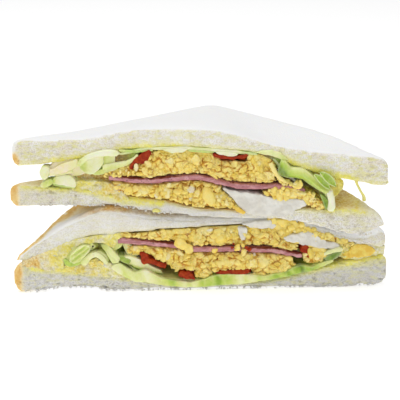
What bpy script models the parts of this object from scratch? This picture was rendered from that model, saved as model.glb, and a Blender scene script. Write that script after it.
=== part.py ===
"""Ham and egg sandwich, metres, +Z up.

One square white-bread sandwich is cut corner to corner, and its two halves lie
stacked with their cut faces to the front (-Y). Each half is a right-angled
triangle: the long side is the cut, the two legs are the crust sides.

A half is described in its own frame: u runs along the cut, v runs back from the
cut to the right-angled corner, z is the height over the table. The four bread
faces of a half are height fields: a line of heights along the cut, pressed by
the knife, which goes over to an even height further back. Fillings are drawn
in the plane of the cut, carried straight back, and then settled between the
two slices, so they narrow towards the corner and thin out as the bread closes.
"""

import math
import random

import bmesh
import bpy
from mathutils import Euler, Vector

OBJECT_NAME = "ham_egg_sandwich"

# Bread
SLICE_SIDE = 0.115
CORNER_RADIUS = 0.009
CRUST_ROUND = 0.0022
CRUST_ROUND_REACH = 0.006
CRUST_ROUND_SHARPNESS = 6
SHORTEST_EDGE = 0.0012
SMOOTH_UP_TO = math.radians(40)
LEAST_SLICE = 0.0024
SLICE_COLUMNS = 30
SLICE_ROWS = 6
ROW_GRADE = 1.3
SLICE_DEPTH = 0.0792
SIDE_LEVELS = (0.0, 0.22, 0.78, 1.0)

# Places of the halves
CUT_TO_CENTRE = {"lower": 0.026, "upper": 0.027}
YAW = {"lower": math.radians(3.5), "upper": math.radians(-3.5)}
HALF_GAP = 0.0006
OVERHANG_MARGIN = 0.001

# How the bread comes back to its full height behind the cut
RECOVERY_AT_LEG = 0.028
RECOVERY_AT_MIDDLE = 0.058
LID_CROWN = 0.002
CROWN_REACH = 0.025

# Fillings
LAYER_GAP = 0.0005
END_GAP = 0.0008
STEP_WIDTH = 0.0005
LEAST_ROW = 0.0025
SLICE_GAP = 0.0004
SLACK_BEHIND_CUT = 0.0007
SLACK_FROM = 0.008
STATION_PITCH = 0.0036
LEAF_RIPPLE_LENGTH = 0.013
RIPPLE_FROM = 0.006
RIPPLE_TURNS = 1.7
HAM_THICKNESS = 0.0024
LEAF_THICKNESS = 0.0010
SHEET_THICKNESS = 0.0012
SMALL_LEAF_THICKNESS = 0.0008
RIB_THICKNESS = 0.0020
FLAP_RIPPLE = 0.0006
TOMATO_THICKNESS = 0.0024
THIN_TOMATO_THICKNESS = 0.0019
TOMATO_END_THICKNESS = 0.0016
LEAF_PITCH = 0.0030
RIB_PITCH = 0.0035
CURL_PITCH = 0.0020
SMALL_CURL_PITCH = 0.0018
SEED = 11

REACH = SLICE_SIDE / math.sqrt(2)
TIP = REACH - CORNER_RADIUS * (math.sqrt(2) - 1)
TIP_CENTRE = TIP - CORNER_RADIUS
APEX_CENTRE = REACH - CORNER_RADIUS * math.sqrt(2)

# Heights of the bread's four faces: at the cut, as (u, z), and further back
BREAD_LINES = {
    "lower": {
        "base_under": ((-REACH, 0.0), (REACH, 0.0)),
        "base_top": (
            (-0.077, 0.0132), (-0.071, 0.0126), (-0.063, 0.0120), (-0.055, 0.0104), (-0.044, 0.0084),
            (-0.034, 0.0066), (-0.026, 0.0050), (-0.017, 0.0036), (-0.005, 0.0027), (0.012, 0.0025),
            (0.025, 0.0030), (0.037, 0.0048), (0.054, 0.0099), (0.066, 0.0122), (0.077, 0.0142)),
        "lid_under": (
            (-0.077, 0.0138), (-0.070, 0.0132), (-0.063, 0.0130), (-0.058, 0.0168), (-0.052, 0.0228),
            (-0.042, 0.0245), (-0.028, 0.0255), (-0.011, 0.0270), (0.010, 0.0279), (0.029, 0.0288),
            (0.035, 0.0287), (0.041, 0.0264), (0.050, 0.0227), (0.058, 0.0195), (0.066, 0.0171),
            (0.077, 0.0156)),
        "lid_top": (
            (-0.077, 0.0164), (-0.071, 0.0208), (-0.063, 0.0267), (-0.054, 0.0317), (-0.047, 0.0348),
            (-0.041, 0.0361), (-0.031, 0.0349), (-0.020, 0.0331), (-0.001, 0.0316), (0.016, 0.0312),
            (0.037, 0.0305), (0.046, 0.0280), (0.056, 0.0245), (0.066, 0.0218), (0.071, 0.0226),
            (0.077, 0.0254)),
    },
    "upper": {
        "base_under": (
            (-0.077, 0.0348), (-0.060, 0.0359), (-0.050, 0.0360), (-0.041, 0.0354), (-0.031, 0.0339),
            (-0.015, 0.0324), (-0.001, 0.0320), (0.016, 0.0315), (0.037, 0.0312), (0.045, 0.0297),
            (0.055, 0.0273), (0.066, 0.0249), (0.071, 0.0262), (0.077, 0.0290)),
        "base_top": (
            (-0.077, 0.0450), (-0.067, 0.0441), (-0.050, 0.0439), (-0.042, 0.0428), (-0.034, 0.0408),
            (-0.016, 0.0390), (-0.009, 0.0373), (-0.002, 0.0359), (0.008, 0.0355), (0.018, 0.0350),
            (0.028, 0.0352), (0.041, 0.0365), (0.052, 0.0367), (0.059, 0.0356), (0.067, 0.0348),
            (0.077, 0.0334)),
        "lid_under": (
            (-0.077, 0.0522), (-0.067, 0.0535), (-0.052, 0.0559), (-0.044, 0.0577), (-0.036, 0.0596),
            (-0.027, 0.0608), (-0.007, 0.0617), (0.006, 0.0611), (0.016, 0.0604), (0.022, 0.0599),
            (0.028, 0.0589), (0.033, 0.0573), (0.039, 0.0540), (0.046, 0.0524), (0.056, 0.0496),
            (0.065, 0.0485), (0.077, 0.0460)),
        "lid_top": (
            (-0.077, 0.0627), (-0.067, 0.0631), (-0.056, 0.0641), (-0.046, 0.0653), (-0.038, 0.0672),
            (-0.028, 0.0690), (-0.015, 0.0698), (-0.001, 0.0698), (0.006, 0.0691), (0.015, 0.0676),
            (0.022, 0.0656), (0.030, 0.0632), (0.038, 0.0620), (0.046, 0.0609), (0.061, 0.0599),
            (0.077, 0.0583)),
    },
}
BREAD_REST = {
    "lower": {"base_under": 0.0, "base_top": 0.0100, "lid_under": 0.0225, "lid_top": 0.0325},
    "upper": {"base_under": 0.0332, "base_top": 0.0430, "lid_under": 0.0528, "lid_top": 0.0625},
}

# Fillings of the upper half, as (u, z) in the plane of its cut
UPPER_HAM = (
    (-0.0390, 0.0484), (-0.032, 0.0479), (-0.023, 0.0473), (-0.015, 0.0481), (-0.007, 0.0490),
    (0.000, 0.0490), (0.007, 0.0476), (0.014, 0.0459), (0.021, 0.0456), (0.029, 0.0457),
    (0.035, 0.0459), (0.0435, 0.0443))
UPPER_TOMATO_LEFT = ((-0.0286, 0.0533), (-0.0260, 0.0558), (-0.0232, 0.0576))
UPPER_TOMATO_TOP = ((0.0072, 0.0578), (0.0130, 0.0577), (0.0184, 0.0573))
UPPER_WHITE_TOP = (
    (0.0085, 0.0450), (0.0120, 0.0440), (0.0185, 0.0434), (0.0250, 0.0421), (0.0325, 0.0411),
    (0.0400, 0.0402), (0.0435, 0.0384))
UPPER_WHITE_UNDER = (
    (0.0085, 0.0443), (0.0120, 0.0412), (0.0160, 0.0370), (0.0180, 0.0357), (0.0260, 0.0357),
    (0.0365, 0.0368), (0.0435, 0.0373))
UPPER_LEAF_EDGE = (
    (-0.0270, 0.0597), (-0.0200, 0.0604), (-0.0070, 0.0607), (0.0060, 0.0602), (0.0160, 0.0595),
    (0.0232, 0.0587))
UPPER_LEAF_FOLD = (
    (-0.0273, 0.0582), (-0.0306, 0.0556), (-0.0338, 0.0531), (-0.0395, 0.0512), (-0.0466, 0.0504),
    (-0.0512, 0.0519), (-0.0505, 0.0545), (-0.0440, 0.0564), (-0.0360, 0.0583)) + UPPER_LEAF_EDGE
UPPER_LEAF_RIB = (
    (0.0262, 0.0573), (0.0305, 0.0556), (0.0360, 0.0533), (0.0420, 0.0510), (0.0466, 0.0482),
    (0.0496, 0.0453), (0.0521, 0.0421), (0.0543, 0.0387))
UPPER_LEAF_CURL = (
    (0.0488, 0.0499), (0.0516, 0.0496), (0.0546, 0.0484), (0.0558, 0.0463), (0.0545, 0.0444),
    (0.0526, 0.0450))
UPPER_LEAF_FLAP = ((-0.0662, 0.0508), (-0.0620, 0.0503), (-0.0570, 0.0512), (-0.0525, 0.0529))
UPPER_LEAF_SCRAP = (
    (-0.0655, 0.0450), (-0.0625, 0.0474), (-0.0585, 0.0483), (-0.0545, 0.0470), (-0.0522, 0.0448))

# Fillings of the lower half
LOWER_HAM = (
    (-0.0350, 0.0224), (-0.029, 0.0217), (-0.021, 0.0208), (-0.012, 0.0198), (-0.003, 0.0180),
    (0.006, 0.0176), (0.014, 0.0175), (0.022, 0.0173), (0.031, 0.0165), (0.037, 0.0153),
    (0.0430, 0.0142))
LOWER_TOMATO_LEFT = ((-0.0246, 0.0155), (-0.0220, 0.0141), (-0.0193, 0.0120), (-0.0150, 0.0100))
LOWER_TOMATO_MIDDLE = ((-0.0090, 0.0068), (-0.0060, 0.0071), (-0.0025, 0.0068))
LOWER_TOMATO_RIGHT = ((0.0065, 0.0071), (0.0140, 0.0078), (0.0213, 0.0075))
LOWER_TOMATO_END = ((0.0424, 0.0173), (0.0470, 0.0160))
LOWER_WHITE_TOP = (
    (0.0350, 0.0228), (0.0385, 0.0240), (0.0455, 0.0226), (0.0540, 0.0200), (0.0590, 0.0177))
LOWER_WHITE_UNDER = (
    (0.0350, 0.0218), (0.0385, 0.0199), (0.0455, 0.0182), (0.0540, 0.0173), (0.0590, 0.0168))
LOWER_LEAF_SHEET = (
    (-0.0388, 0.0184), (-0.0368, 0.0146), (-0.0330, 0.0111), (-0.0260, 0.0071), (-0.0170, 0.0050),
    (-0.0050, 0.0039), (0.0120, 0.0038), (0.0250, 0.0043), (0.0370, 0.0062), (0.0460, 0.0089),
    (0.0540, 0.0115), (0.0580, 0.0131))
LOWER_LEAF_CURL = (
    (-0.0568, 0.0126), (-0.0564, 0.0163), (-0.0532, 0.0189), (-0.0480, 0.0205), (-0.0452, 0.0195),
    (-0.0480, 0.0179), (-0.0516, 0.0164), (-0.0526, 0.0141), (-0.0508, 0.0122))
LOWER_LEAF_ARCH = (
    (-0.0484, 0.0128), (-0.0466, 0.0158), (-0.0434, 0.0171), (-0.0406, 0.0155), (-0.0394, 0.0125))
LOWER_CRADLE = ((-0.0330, 0.0160), (-0.0260, 0.0140), (-0.0150, 0.0090), (-0.0080, 0.0052))
SPREAD_TOP = ((0.0610, 0.0152), (0.0640, 0.0166), (0.0690, 0.0160), (0.0730, 0.0148))

# Where each filling starts and ends behind the cut (forward of it is negative)
DEPTHS = {
    "upper_ham": (0.0, 0.056), "upper_tomato_left": (-0.0006, 0.030),
    "upper_tomato_top": (-0.0006, 0.024), "upper_egg_white": (-0.0010, 0.026),
    "upper_egg_top_layer": (0.0, 0.054), "upper_egg_bottom_layer": (0.0, 0.054),
    "upper_lettuce_fold": (-0.0008, 0.060), "upper_lettuce_rib": (-0.0016, 0.050),
    "upper_lettuce_curl": (-0.0020, 0.016), "upper_lettuce_flap": (0.0006, 0.012),
    "upper_lettuce_scrap": (-0.0004, 0.012),
    "lower_ham": (0.0, 0.056), "lower_tomato_left": (-0.0006, 0.026),
    "lower_tomato_middle": (-0.0006, 0.026), "lower_tomato_right": (-0.0006, 0.026),
    "lower_tomato_end": (-0.0006, 0.026), "lower_egg_white": (-0.0010, 0.022),
    "lower_spread": (0.0002, 0.018),
    "lower_egg_top_layer": (0.0, 0.054), "lower_egg_bottom_layer": (0.0, 0.054),
    "lower_lettuce_sheet": (-0.0008, 0.060), "lower_lettuce_curl": (-0.0016, 0.024),
    "lower_lettuce_arch": (-0.0012, 0.024),
}

# Mashed egg: runs along the cut, loose lumps and the large yolk pieces (u, z, radius)
EGG_LUMP_RADII = (0.0016, 0.0030)
EGG_LUMP_SET_BACK = (-0.0006, 0.0008)
YOLK_SET_BACK = 0.001
YOLK_DEPTH = 0.003
YOLK_TURN = (0.3, 0.2, 0.4)
EGG_RUNS = {
    "upper_egg_top_layer": (-0.0293, 0.0310, 28),
    "upper_egg_bottom_layer": (-0.0386, 0.0155, 20),
    "lower_egg_top_layer": (-0.0320, 0.0410, 22),
    "lower_egg_bottom_layer": (-0.0315, 0.0400, 30),
}
YOLK_PIECES = {
    "upper_egg_bottom_layer": ((0.0032, 0.0413, 0.0040),),
    "lower_egg_top_layer": ((-0.0025, 0.0236, 0.0034), (0.0085, 0.0232, 0.0040)),
}

COLOURS = {
    "bread": (0.86, 0.84, 0.76, 1.0),
    "lettuce": (0.42, 0.60, 0.16, 1.0),
    "ham": (0.56, 0.28, 0.32, 1.0),
    "tomato": (0.42, 0.06, 0.02, 1.0),
    "egg": (0.86, 0.62, 0.16, 1.0),
    "egg_white": (0.80, 0.78, 0.76, 1.0),
    "spread": (0.86, 0.66, 0.20, 1.0),
}
ROUGHNESS = {"bread": 0.9, "lettuce": 0.45, "ham": 0.4, "tomato": 0.3, "egg": 0.7,
             "egg_white": 0.5, "spread": 0.4}


# ---------------------------------------------------------------- curves and faces

def curve(points, place):
    """Height at a place of the smooth line through (place, height) points."""
    if place <= points[0][0]:
        return points[0][1]
    if place >= points[-1][0]:
        return points[-1][1]
    index = 0
    while points[index + 1][0] < place:
        index += 1
    (x0, y0), (x1, y1) = points[index], points[index + 1]
    before = points[max(index - 1, 0)]
    after = points[min(index + 2, len(points) - 1)]
    slope_in = (y1 - before[1]) / (x1 - before[0])
    slope_out = (after[1] - y0) / (after[0] - x0)
    width = x1 - x0
    t = (place - x0) / width
    return (y0 * (2 * t ** 3 - 3 * t ** 2 + 1) + y1 * (3 * t ** 2 - 2 * t ** 3)
            + width * slope_in * (t ** 3 - 2 * t ** 2 + t) + width * slope_out * (t ** 3 - t ** 2))


def ease(share):
    """Smooth step from 0 to 1."""
    share = min(max(share, 0.0), 1.0)
    return share * share * (3 - 2 * share)


def cut_place(u, v):
    """The place on the cut from which a point lies straight towards the corner."""
    place = u * REACH / max(REACH - max(v, 0.0), CORNER_RADIUS / 2)
    return min(max(place, -TIP), TIP)


def outline_distance(u, v):
    """Distance from a point inside a half to its rounded crust sides."""
    side = abs(u)
    if side - v > TIP_CENTRE:
        return CORNER_RADIUS - math.hypot(side - TIP_CENTRE, v)
    if v - side > APEX_CENTRE:
        return CORNER_RADIUS - math.hypot(side, v - APEX_CENTRE)
    return (REACH - side - v) / math.sqrt(2)


def inward(u, v):
    """Direction from the crust sides into the half."""
    side = abs(u)
    if side - v > TIP_CENTRE:
        direction = Vector((TIP_CENTRE - side, -v))
    elif v - side > APEX_CENTRE:
        direction = Vector((-side, APEX_CENTRE - v))
    else:
        direction = Vector((-1.0, -1.0))
    direction.normalize()
    return Vector((math.copysign(1.0, u) * direction.x, direction.y))


def upper_to_lower(u, v):
    """A point of the upper half's frame, in the lower half's frame."""
    x = u * math.cos(YAW["upper"]) - v * math.sin(YAW["upper"])
    y = u * math.sin(YAW["upper"]) + v * math.cos(YAW["upper"])
    y += CUT_TO_CENTRE["lower"] - CUT_TO_CENTRE["upper"]
    turn = -YAW["lower"]
    return x * math.cos(turn) - y * math.sin(turn), x * math.sin(turn) + y * math.cos(turn)


def plain_height(half, face, u, v):
    """Height of a bread face: its line at the cut, going over to its even height."""
    place = cut_place(u, v)
    middle = 1 - (place / REACH) ** 2
    length = RECOVERY_AT_LEG + (RECOVERY_AT_MIDDLE - RECOVERY_AT_LEG) * middle
    share = ease(v / length)
    rest = BREAD_REST[half][face]
    if face.startswith("lid"):
        rest += LID_CROWN * ease(outline_distance(u, v) / CROWN_REACH)
    at_cut = curve(BREAD_LINES[half][face], place)
    return at_cut + (rest - at_cut) * share


def height(half, face, u, v):
    """Height of a bread face, kept clear of the faces under it."""
    own = plain_height(half, face, u, v)
    if face == "base_under" and half == "upper":
        u_below, v_below = upper_to_lower(u, v)
        if v_below > -OVERHANG_MARGIN:
            own = max(own, height("lower", "lid_top", u_below, v_below) + HALF_GAP)
    elif face == "base_top":
        own = max(own, height(half, "base_under", u, v) + LEAST_SLICE)
    elif face == "lid_under":
        own = max(own, height(half, "base_top", u, v) + SLICE_GAP)
    elif face == "lid_top":
        own = max(own, height(half, "lid_under", u, v) + LEAST_SLICE)
    return own


def settle(half, point):
    """Carry a point drawn behind the cut to its place between the two slices."""
    place, v = point.x, max(point.y, 0.0)
    floor_at_cut = height(half, "base_top", place, 0.0)
    roof_at_cut = height(half, "lid_under", place, 0.0)
    share = (point.z - floor_at_cut) / (roof_at_cut - floor_at_cut)
    u = place * (REACH - v) / REACH
    slack = SLACK_BEHIND_CUT * ease(v / SLACK_FROM)
    floor = height(half, "base_top", u, v) + slack
    roof = height(half, "lid_under", u, v) - slack
    return Vector((u, point.y, floor + share * (roof - floor)))


# ---------------------------------------------------------------- scene helpers

def clear_scene():
    for thing in list(bpy.data.objects):
        bpy.data.objects.remove(thing)


def make_material(name):
    material = bpy.data.materials.new(name)
    material.use_nodes = True
    shader = material.node_tree.nodes["Principled BSDF"]
    shader.inputs["Base Color"].default_value = COLOURS[name]
    shader.inputs["Roughness"].default_value = ROUGHNESS[name]
    shader.inputs["Metallic"].default_value = 0.0
    material.diffuse_color = COLOURS[name]
    return material


def make_half_empties():
    """One empty for each half, at the middle of its cut and turned with it."""
    empties = {}
    for half, distance in CUT_TO_CENTRE.items():
        empty = bpy.data.objects.new(half + "_half", None)
        empty.location = (0.0, -distance, 0.0)
        empty.rotation_euler = (0.0, 0.0, YAW[half])
        bpy.context.scene.collection.objects.link(empty)
        empties[half] = empty
    return empties


def mesh_from(bm, name):
    mesh = bpy.data.meshes.new(name)
    bmesh.ops.recalc_face_normals(bm, faces=bm.faces)
    bm.to_mesh(mesh)
    bm.free()
    return mesh


def add_piece(kit, half, name, mesh, material):
    """Put a finished mesh into the sandwich as one named sub-part."""
    piece = bpy.data.objects.new(name, mesh)
    mesh.materials.clear()
    mesh.materials.append(kit["materials"][material])
    kit["collection"].objects.link(piece)
    piece.parent = kit["empties"][half]
    mesh.shade_smooth()
    mesh.set_sharp_from_angle(angle=SMOOTH_UP_TO)
    return piece


def evaluated_mesh(thing):
    """The mesh that an object's modifiers give."""
    graph = bpy.context.evaluated_depsgraph_get()
    return bpy.data.meshes.new_from_object(thing.evaluated_get(graph))


def modified_mesh(mesh, kind, settings):
    """A mesh after one modifier, made on a helper object that is then removed."""
    helper = bpy.data.objects.new("helper", mesh)
    bpy.context.scene.collection.objects.link(helper)
    modifier = helper.modifiers.new(kind.title(), kind)
    for setting, value in settings.items():
        setattr(modifier, setting, value)
    result = evaluated_mesh(helper)
    bpy.data.objects.remove(helper)
    return result


def settle_mesh(half, mesh):
    for vertex in mesh.vertices:
        vertex.co = settle(half, vertex.co)


# ---------------------------------------------------------------- bread

def outline_planes():
    """Planes round a half's outline, as (point, outward direction)."""
    planes = []
    for side in (-1, 1):
        for degrees in (0, 15, 30, 45):
            angle = math.radians(degrees)
            outward = Vector((side * math.cos(angle), math.sin(angle), 0.0))
            planes.append((Vector((side * TIP_CENTRE, 0.0, 0.0)) + CORNER_RADIUS * outward, outward))
    for degrees in (68, 90, 112):
        angle = math.radians(degrees)
        outward = Vector((math.cos(angle), math.sin(angle), 0.0))
        planes.append((Vector((0.0, APEX_CENTRE, 0.0)) + CORNER_RADIUS * outward, outward))
    return planes


def row_depth(share):
    """Depth behind the cut of a row of the bread's grid: the rows widen towards the corner."""
    return share ** ROW_GRADE * SLICE_DEPTH


def slice_sheet():
    """A flat grid over a half, finer near the cut, trimmed to its outline."""
    bm = bmesh.new()
    bmesh.ops.create_grid(bm, x_segments=SLICE_COLUMNS, y_segments=SLICE_ROWS, size=0.5)
    for vert in bm.verts:
        vert.co.x *= 2 * SLICE_DEPTH
        vert.co.y = row_depth(max(vert.co.y + 0.5, 0.0))
    for point, outward in outline_planes():
        geometry = bm.verts[:] + bm.edges[:] + bm.faces[:]
        bmesh.ops.bisect_plane(bm, geom=geometry, plane_co=point, plane_no=outward, clear_outer=True)
    bmesh.ops.remove_doubles(bm, verts=bm.verts, dist=SHORTEST_EDGE)
    return bm


def make_slice(kit, half, name, under, top):
    """One bread slice: the sheet raised in levels, its crust edges rounded."""
    bm = slice_sheet()
    level_of = {vert: 0.0 for vert in bm.verts}
    faces = bm.faces[:]
    for level in SIDE_LEVELS[1:]:
        raised = bmesh.ops.extrude_face_region(bm, geom=faces)["geom"]
        if level > SIDE_LEVELS[1]:
            bmesh.ops.delete(bm, geom=faces, context="FACES")
        faces = [part for part in raised if isinstance(part, bmesh.types.BMFace)]
        for vert in (part for part in raised if isinstance(part, bmesh.types.BMVert)):
            level_of[vert] = level
    for vert in bm.verts:
        level = level_of[vert]
        u, v = vert.co.x, vert.co.y
        rounding = CRUST_ROUND * abs(2 * level - 1) ** CRUST_ROUND_SHARPNESS
        near_crust = max(0.0, 1 - max(outline_distance(u, v), 0.0) / CRUST_ROUND_REACH)
        shift = inward(u, v) * rounding * near_crust
        u += shift.x
        if v > CRUST_ROUND / 10:
            v = max(v + shift.y, 0.0)
        low = height(half, under, u, v)
        high = height(half, top, u, v)
        vert.co = Vector((u, v, low + level * (high - low)))
    return add_piece(kit, half, name, mesh_from(bm, name), "bread")


# ---------------------------------------------------------------- fillings

class Layer:
    """A filling at the cut, from start to end along it, between two lines."""

    def __init__(self, start, end, low, high, breaks=()):
        self.start = start
        self.end = end
        self.low = low
        self.high = high
        self.breaks = breaks

    def reach(self):
        """The run that a neighbour keeps clear of."""
        return self.start - END_GAP, self.end + END_GAP

    def covers(self, u):
        first, last = self.reach()
        return first <= u <= last


def strip(points, thickness):
    """A layer of even thickness along a line of (u, z) points."""
    def half_height(u):
        step = STATION_PITCH / 4
        slope = (curve(points, u + step) - curve(points, u - step)) / (2 * step)
        return thickness / 2 * math.sqrt(1 + slope * slope)
    return Layer(points[0][0], points[-1][0], lambda u: curve(points, u) - half_height(u),
                 lambda u: curve(points, u) + half_height(u))


def wedge(under, top):
    """A layer between two lines of (u, z) points."""
    return Layer(under[0][0], under[-1][0], lambda u: curve(under, u), lambda u: curve(top, u))


def between(half, start, end, below, above):
    """The room left for a heap between the layers below and above it."""
    def low(u):
        heights = [layer.high(u) + LAYER_GAP for layer in below if layer.covers(u)]
        return max(heights + [height(half, "base_top", u, 0.0) + LAYER_GAP])

    def high(u):
        heights = [layer.low(u) - LAYER_GAP for layer in above if layer.covers(u)]
        return min(heights + [height(half, "lid_under", u, 0.0) - LAYER_GAP])

    breaks = []
    for first, last in (layer.reach() for layer in below + above):
        breaks += [first - STEP_WIDTH, first, last, last + STEP_WIDTH]
    return Layer(start, end, low, high, [u for u in breaks if start < u < end])


def stations(layer):
    """Places along the cut, shared by all layers, with a layer's own ends and steps."""
    first = math.floor(layer.start / STATION_PITCH) + 1
    last = math.ceil(layer.end / STATION_PITCH)
    kept = [layer.start, layer.end] + list(layer.breaks)
    for index in range(first, last):
        u = index * STATION_PITCH
        if min(abs(u - other) for other in kept) > STEP_WIDTH / 2:
            kept.append(u)
    return sorted(kept)


def depths(name):
    """Depths behind the cut, shared with the bread's rows, with a filling's own two ends."""
    front, back = DEPTHS[name]
    rows = [row_depth(index / SLICE_ROWS) for index in range(SLICE_ROWS)]
    return [front] + [v for v in rows if front + LEAST_ROW < v < back - LEAST_ROW] + [back]


def filling_sheet(columns, rows):
    """A flat triangulated grid whose x and y are column and row numbers."""
    bm = bmesh.new()
    bmesh.ops.create_grid(bm, x_segments=columns, y_segments=rows, size=0.5)
    for vert in bm.verts:
        vert.co.x = round((vert.co.x + 0.5) * columns)
        vert.co.y = round((vert.co.y + 0.5) * rows)
    bmesh.ops.triangulate(bm, faces=bm.faces)
    return bm


def layer_mesh(name, layer):
    """The closed solid of a layer, carried straight back from the cut."""
    places = stations(layer)
    rows = depths(name)
    bm = filling_sheet(len(places) - 1, len(rows) - 1)
    raised = bmesh.ops.extrude_face_region(bm, geom=bm.faces[:])["geom"]
    upper_verts = {part for part in raised if isinstance(part, bmesh.types.BMVert)}
    for vert in bm.verts:
        u = places[round(vert.co.x)]
        face = layer.high if vert in upper_verts else layer.low
        vert.co = Vector((u, rows[round(vert.co.y)], face(u)))
    return mesh_from(bm, name)


def make_layer(kit, half, name, layer, material):
    mesh = layer_mesh(name, layer)
    settle_mesh(half, mesh)
    return add_piece(kit, half, name, mesh, material)


def path_point(points, share):
    """A point of the smooth path through (u, z) points, by its share of the length."""
    lengths = [0.0]
    for before, after in zip(points, points[1:]):
        lengths.append(lengths[-1] + math.dist(before, after))
    place = share * lengths[-1]
    u = curve([(at, point[0]) for at, point in zip(lengths, points)], place)
    z = curve([(at, point[1]) for at, point in zip(lengths, points)], place)
    return u, z


def make_leaf(kit, half, name, points, thickness, pitch=LEAF_PITCH, ripple=0.0):
    """A thin wavy leaf: a sheet along a path at the cut, thickened, then settled."""
    length = sum(math.dist(a, b) for a, b in zip(points, points[1:]))
    columns = max(round(length / pitch), 4)
    rows = depths(name)
    bm = filling_sheet(columns, len(rows) - 1)
    for vert in bm.verts:
        share = vert.co.x / columns
        v = rows[round(vert.co.y)]
        u, z = path_point(points, share)
        wave = math.sin(math.tau * (v / LEAF_RIPPLE_LENGTH + RIPPLE_TURNS * share))
        free = math.sin(math.pi * share) * ease(v / RIPPLE_FROM)
        vert.co = Vector((u, v, z + ripple * wave * free))
    mesh = modified_mesh(mesh_from(bm, name), "SOLIDIFY",
                         {"thickness": thickness, "offset": 0.0, "use_even_offset": True})
    settle_mesh(half, mesh)
    return add_piece(kit, half, name, mesh, "lettuce")


def add_lump(collection, centre, radii, turn):
    """One loose lump of egg, with few sides."""
    bm = bmesh.new()
    bmesh.ops.create_icosphere(bm, subdivisions=1, radius=1.0)
    rotation = Euler(turn).to_matrix()
    for vert in bm.verts:
        corner = rotation @ vert.co
        vert.co = Vector(centre) + Vector((corner.x * radii[0], corner.y * radii[1],
                                           corner.z * radii[2]))
    lump = bpy.data.objects.new("lump", mesh_from(bm, "lump"))
    collection.objects.link(lump)


def free_height(layer, u, reach):
    """Lowest and highest clear height of a layer over a reach to both sides of a place."""
    places = [u + reach * share for share in (-1.0, -0.5, 0.0, 0.5, 1.0)]
    places = [min(max(place, layer.start), layer.end) for place in places]
    return max(layer.low(place) for place in places), min(layer.high(place) for place in places)


def make_heap(kit, half, name, below, above):
    """Mashed egg: a core with the lumps and yolk pieces that show at the cut fused on."""
    chance = random.Random(SEED + list(EGG_RUNS).index(name))
    start, end, count = EGG_RUNS[name]
    layer = between(half, start, end, below, above)
    lumps = bpy.data.collections.new(name + "_lumps")
    bpy.context.scene.collection.children.link(lumps)
    for u, z, radius in YOLK_PIECES.get(name, ()):
        low, high = free_height(layer, u, radius)
        tall = min(radius, (high - low) / 2)
        z = min(max(z, low + tall), high - tall)
        add_lump(lumps, (u, YOLK_SET_BACK, z), (radius, YOLK_DEPTH, tall), YOLK_TURN)
    for index in range(count):
        radius = chance.uniform(*EGG_LUMP_RADII)
        run = layer.end - layer.start - 2 * radius
        u = layer.start + radius + run * (index + chance.random()) / count
        low, high = free_height(layer, u, radius)
        tall = min(radius, (high - low) / 2)
        z = chance.uniform(low + tall, max(high - tall, low + tall))
        turn = [chance.uniform(0, math.tau) for _ in range(3)]
        add_lump(lumps, (u, chance.uniform(*EGG_LUMP_SET_BACK), z), (radius, radius, tall), turn)
    mesh = modified_mesh(layer_mesh(name, layer), "BOOLEAN",
                         {"operation": "UNION", "operand_type": "COLLECTION", "collection": lumps,
                          "solver": "EXACT"})
    for lump in list(lumps.objects):
        bpy.data.objects.remove(lump)
    bpy.data.collections.remove(lumps)
    settle_mesh(half, mesh)
    return add_piece(kit, half, name, mesh, "egg")


# ---------------------------------------------------------------- the two halves

def make_bread(kit):
    for half in ("lower", "upper"):
        make_slice(kit, half, half + "_bottom_slice", "base_under", "base_top")
        make_slice(kit, half, half + "_top_slice", "lid_under", "lid_top")


def make_upper_fillings(kit):
    ham = strip(UPPER_HAM, HAM_THICKNESS)
    tomato_left = strip(UPPER_TOMATO_LEFT, TOMATO_THICKNESS)
    tomato_top = strip(UPPER_TOMATO_TOP, THIN_TOMATO_THICKNESS)
    white = wedge(UPPER_WHITE_UNDER, UPPER_WHITE_TOP)
    leaf_edge = strip(UPPER_LEAF_EDGE, LEAF_THICKNESS)
    rib = strip(UPPER_LEAF_RIB, RIB_THICKNESS)

    make_layer(kit, "upper", "upper_ham", ham, "ham")
    make_layer(kit, "upper", "upper_tomato_left", tomato_left, "tomato")
    make_layer(kit, "upper", "upper_tomato_top", tomato_top, "tomato")
    make_layer(kit, "upper", "upper_egg_white", white, "egg_white")
    make_heap(kit, "upper", "upper_egg_top_layer", [ham], [leaf_edge, tomato_left, tomato_top, rib])
    make_heap(kit, "upper", "upper_egg_bottom_layer", [], [ham, white])

    make_leaf(kit, "upper", "upper_lettuce_fold", UPPER_LEAF_FOLD, LEAF_THICKNESS)
    make_leaf(kit, "upper", "upper_lettuce_rib", UPPER_LEAF_RIB, RIB_THICKNESS, RIB_PITCH)
    make_leaf(kit, "upper", "upper_lettuce_curl", UPPER_LEAF_CURL, SMALL_LEAF_THICKNESS,
              SMALL_CURL_PITCH)
    make_leaf(kit, "upper", "upper_lettuce_flap", UPPER_LEAF_FLAP, SMALL_LEAF_THICKNESS,
              ripple=FLAP_RIPPLE)
    make_leaf(kit, "upper", "upper_lettuce_scrap", UPPER_LEAF_SCRAP, SMALL_LEAF_THICKNESS)


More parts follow.
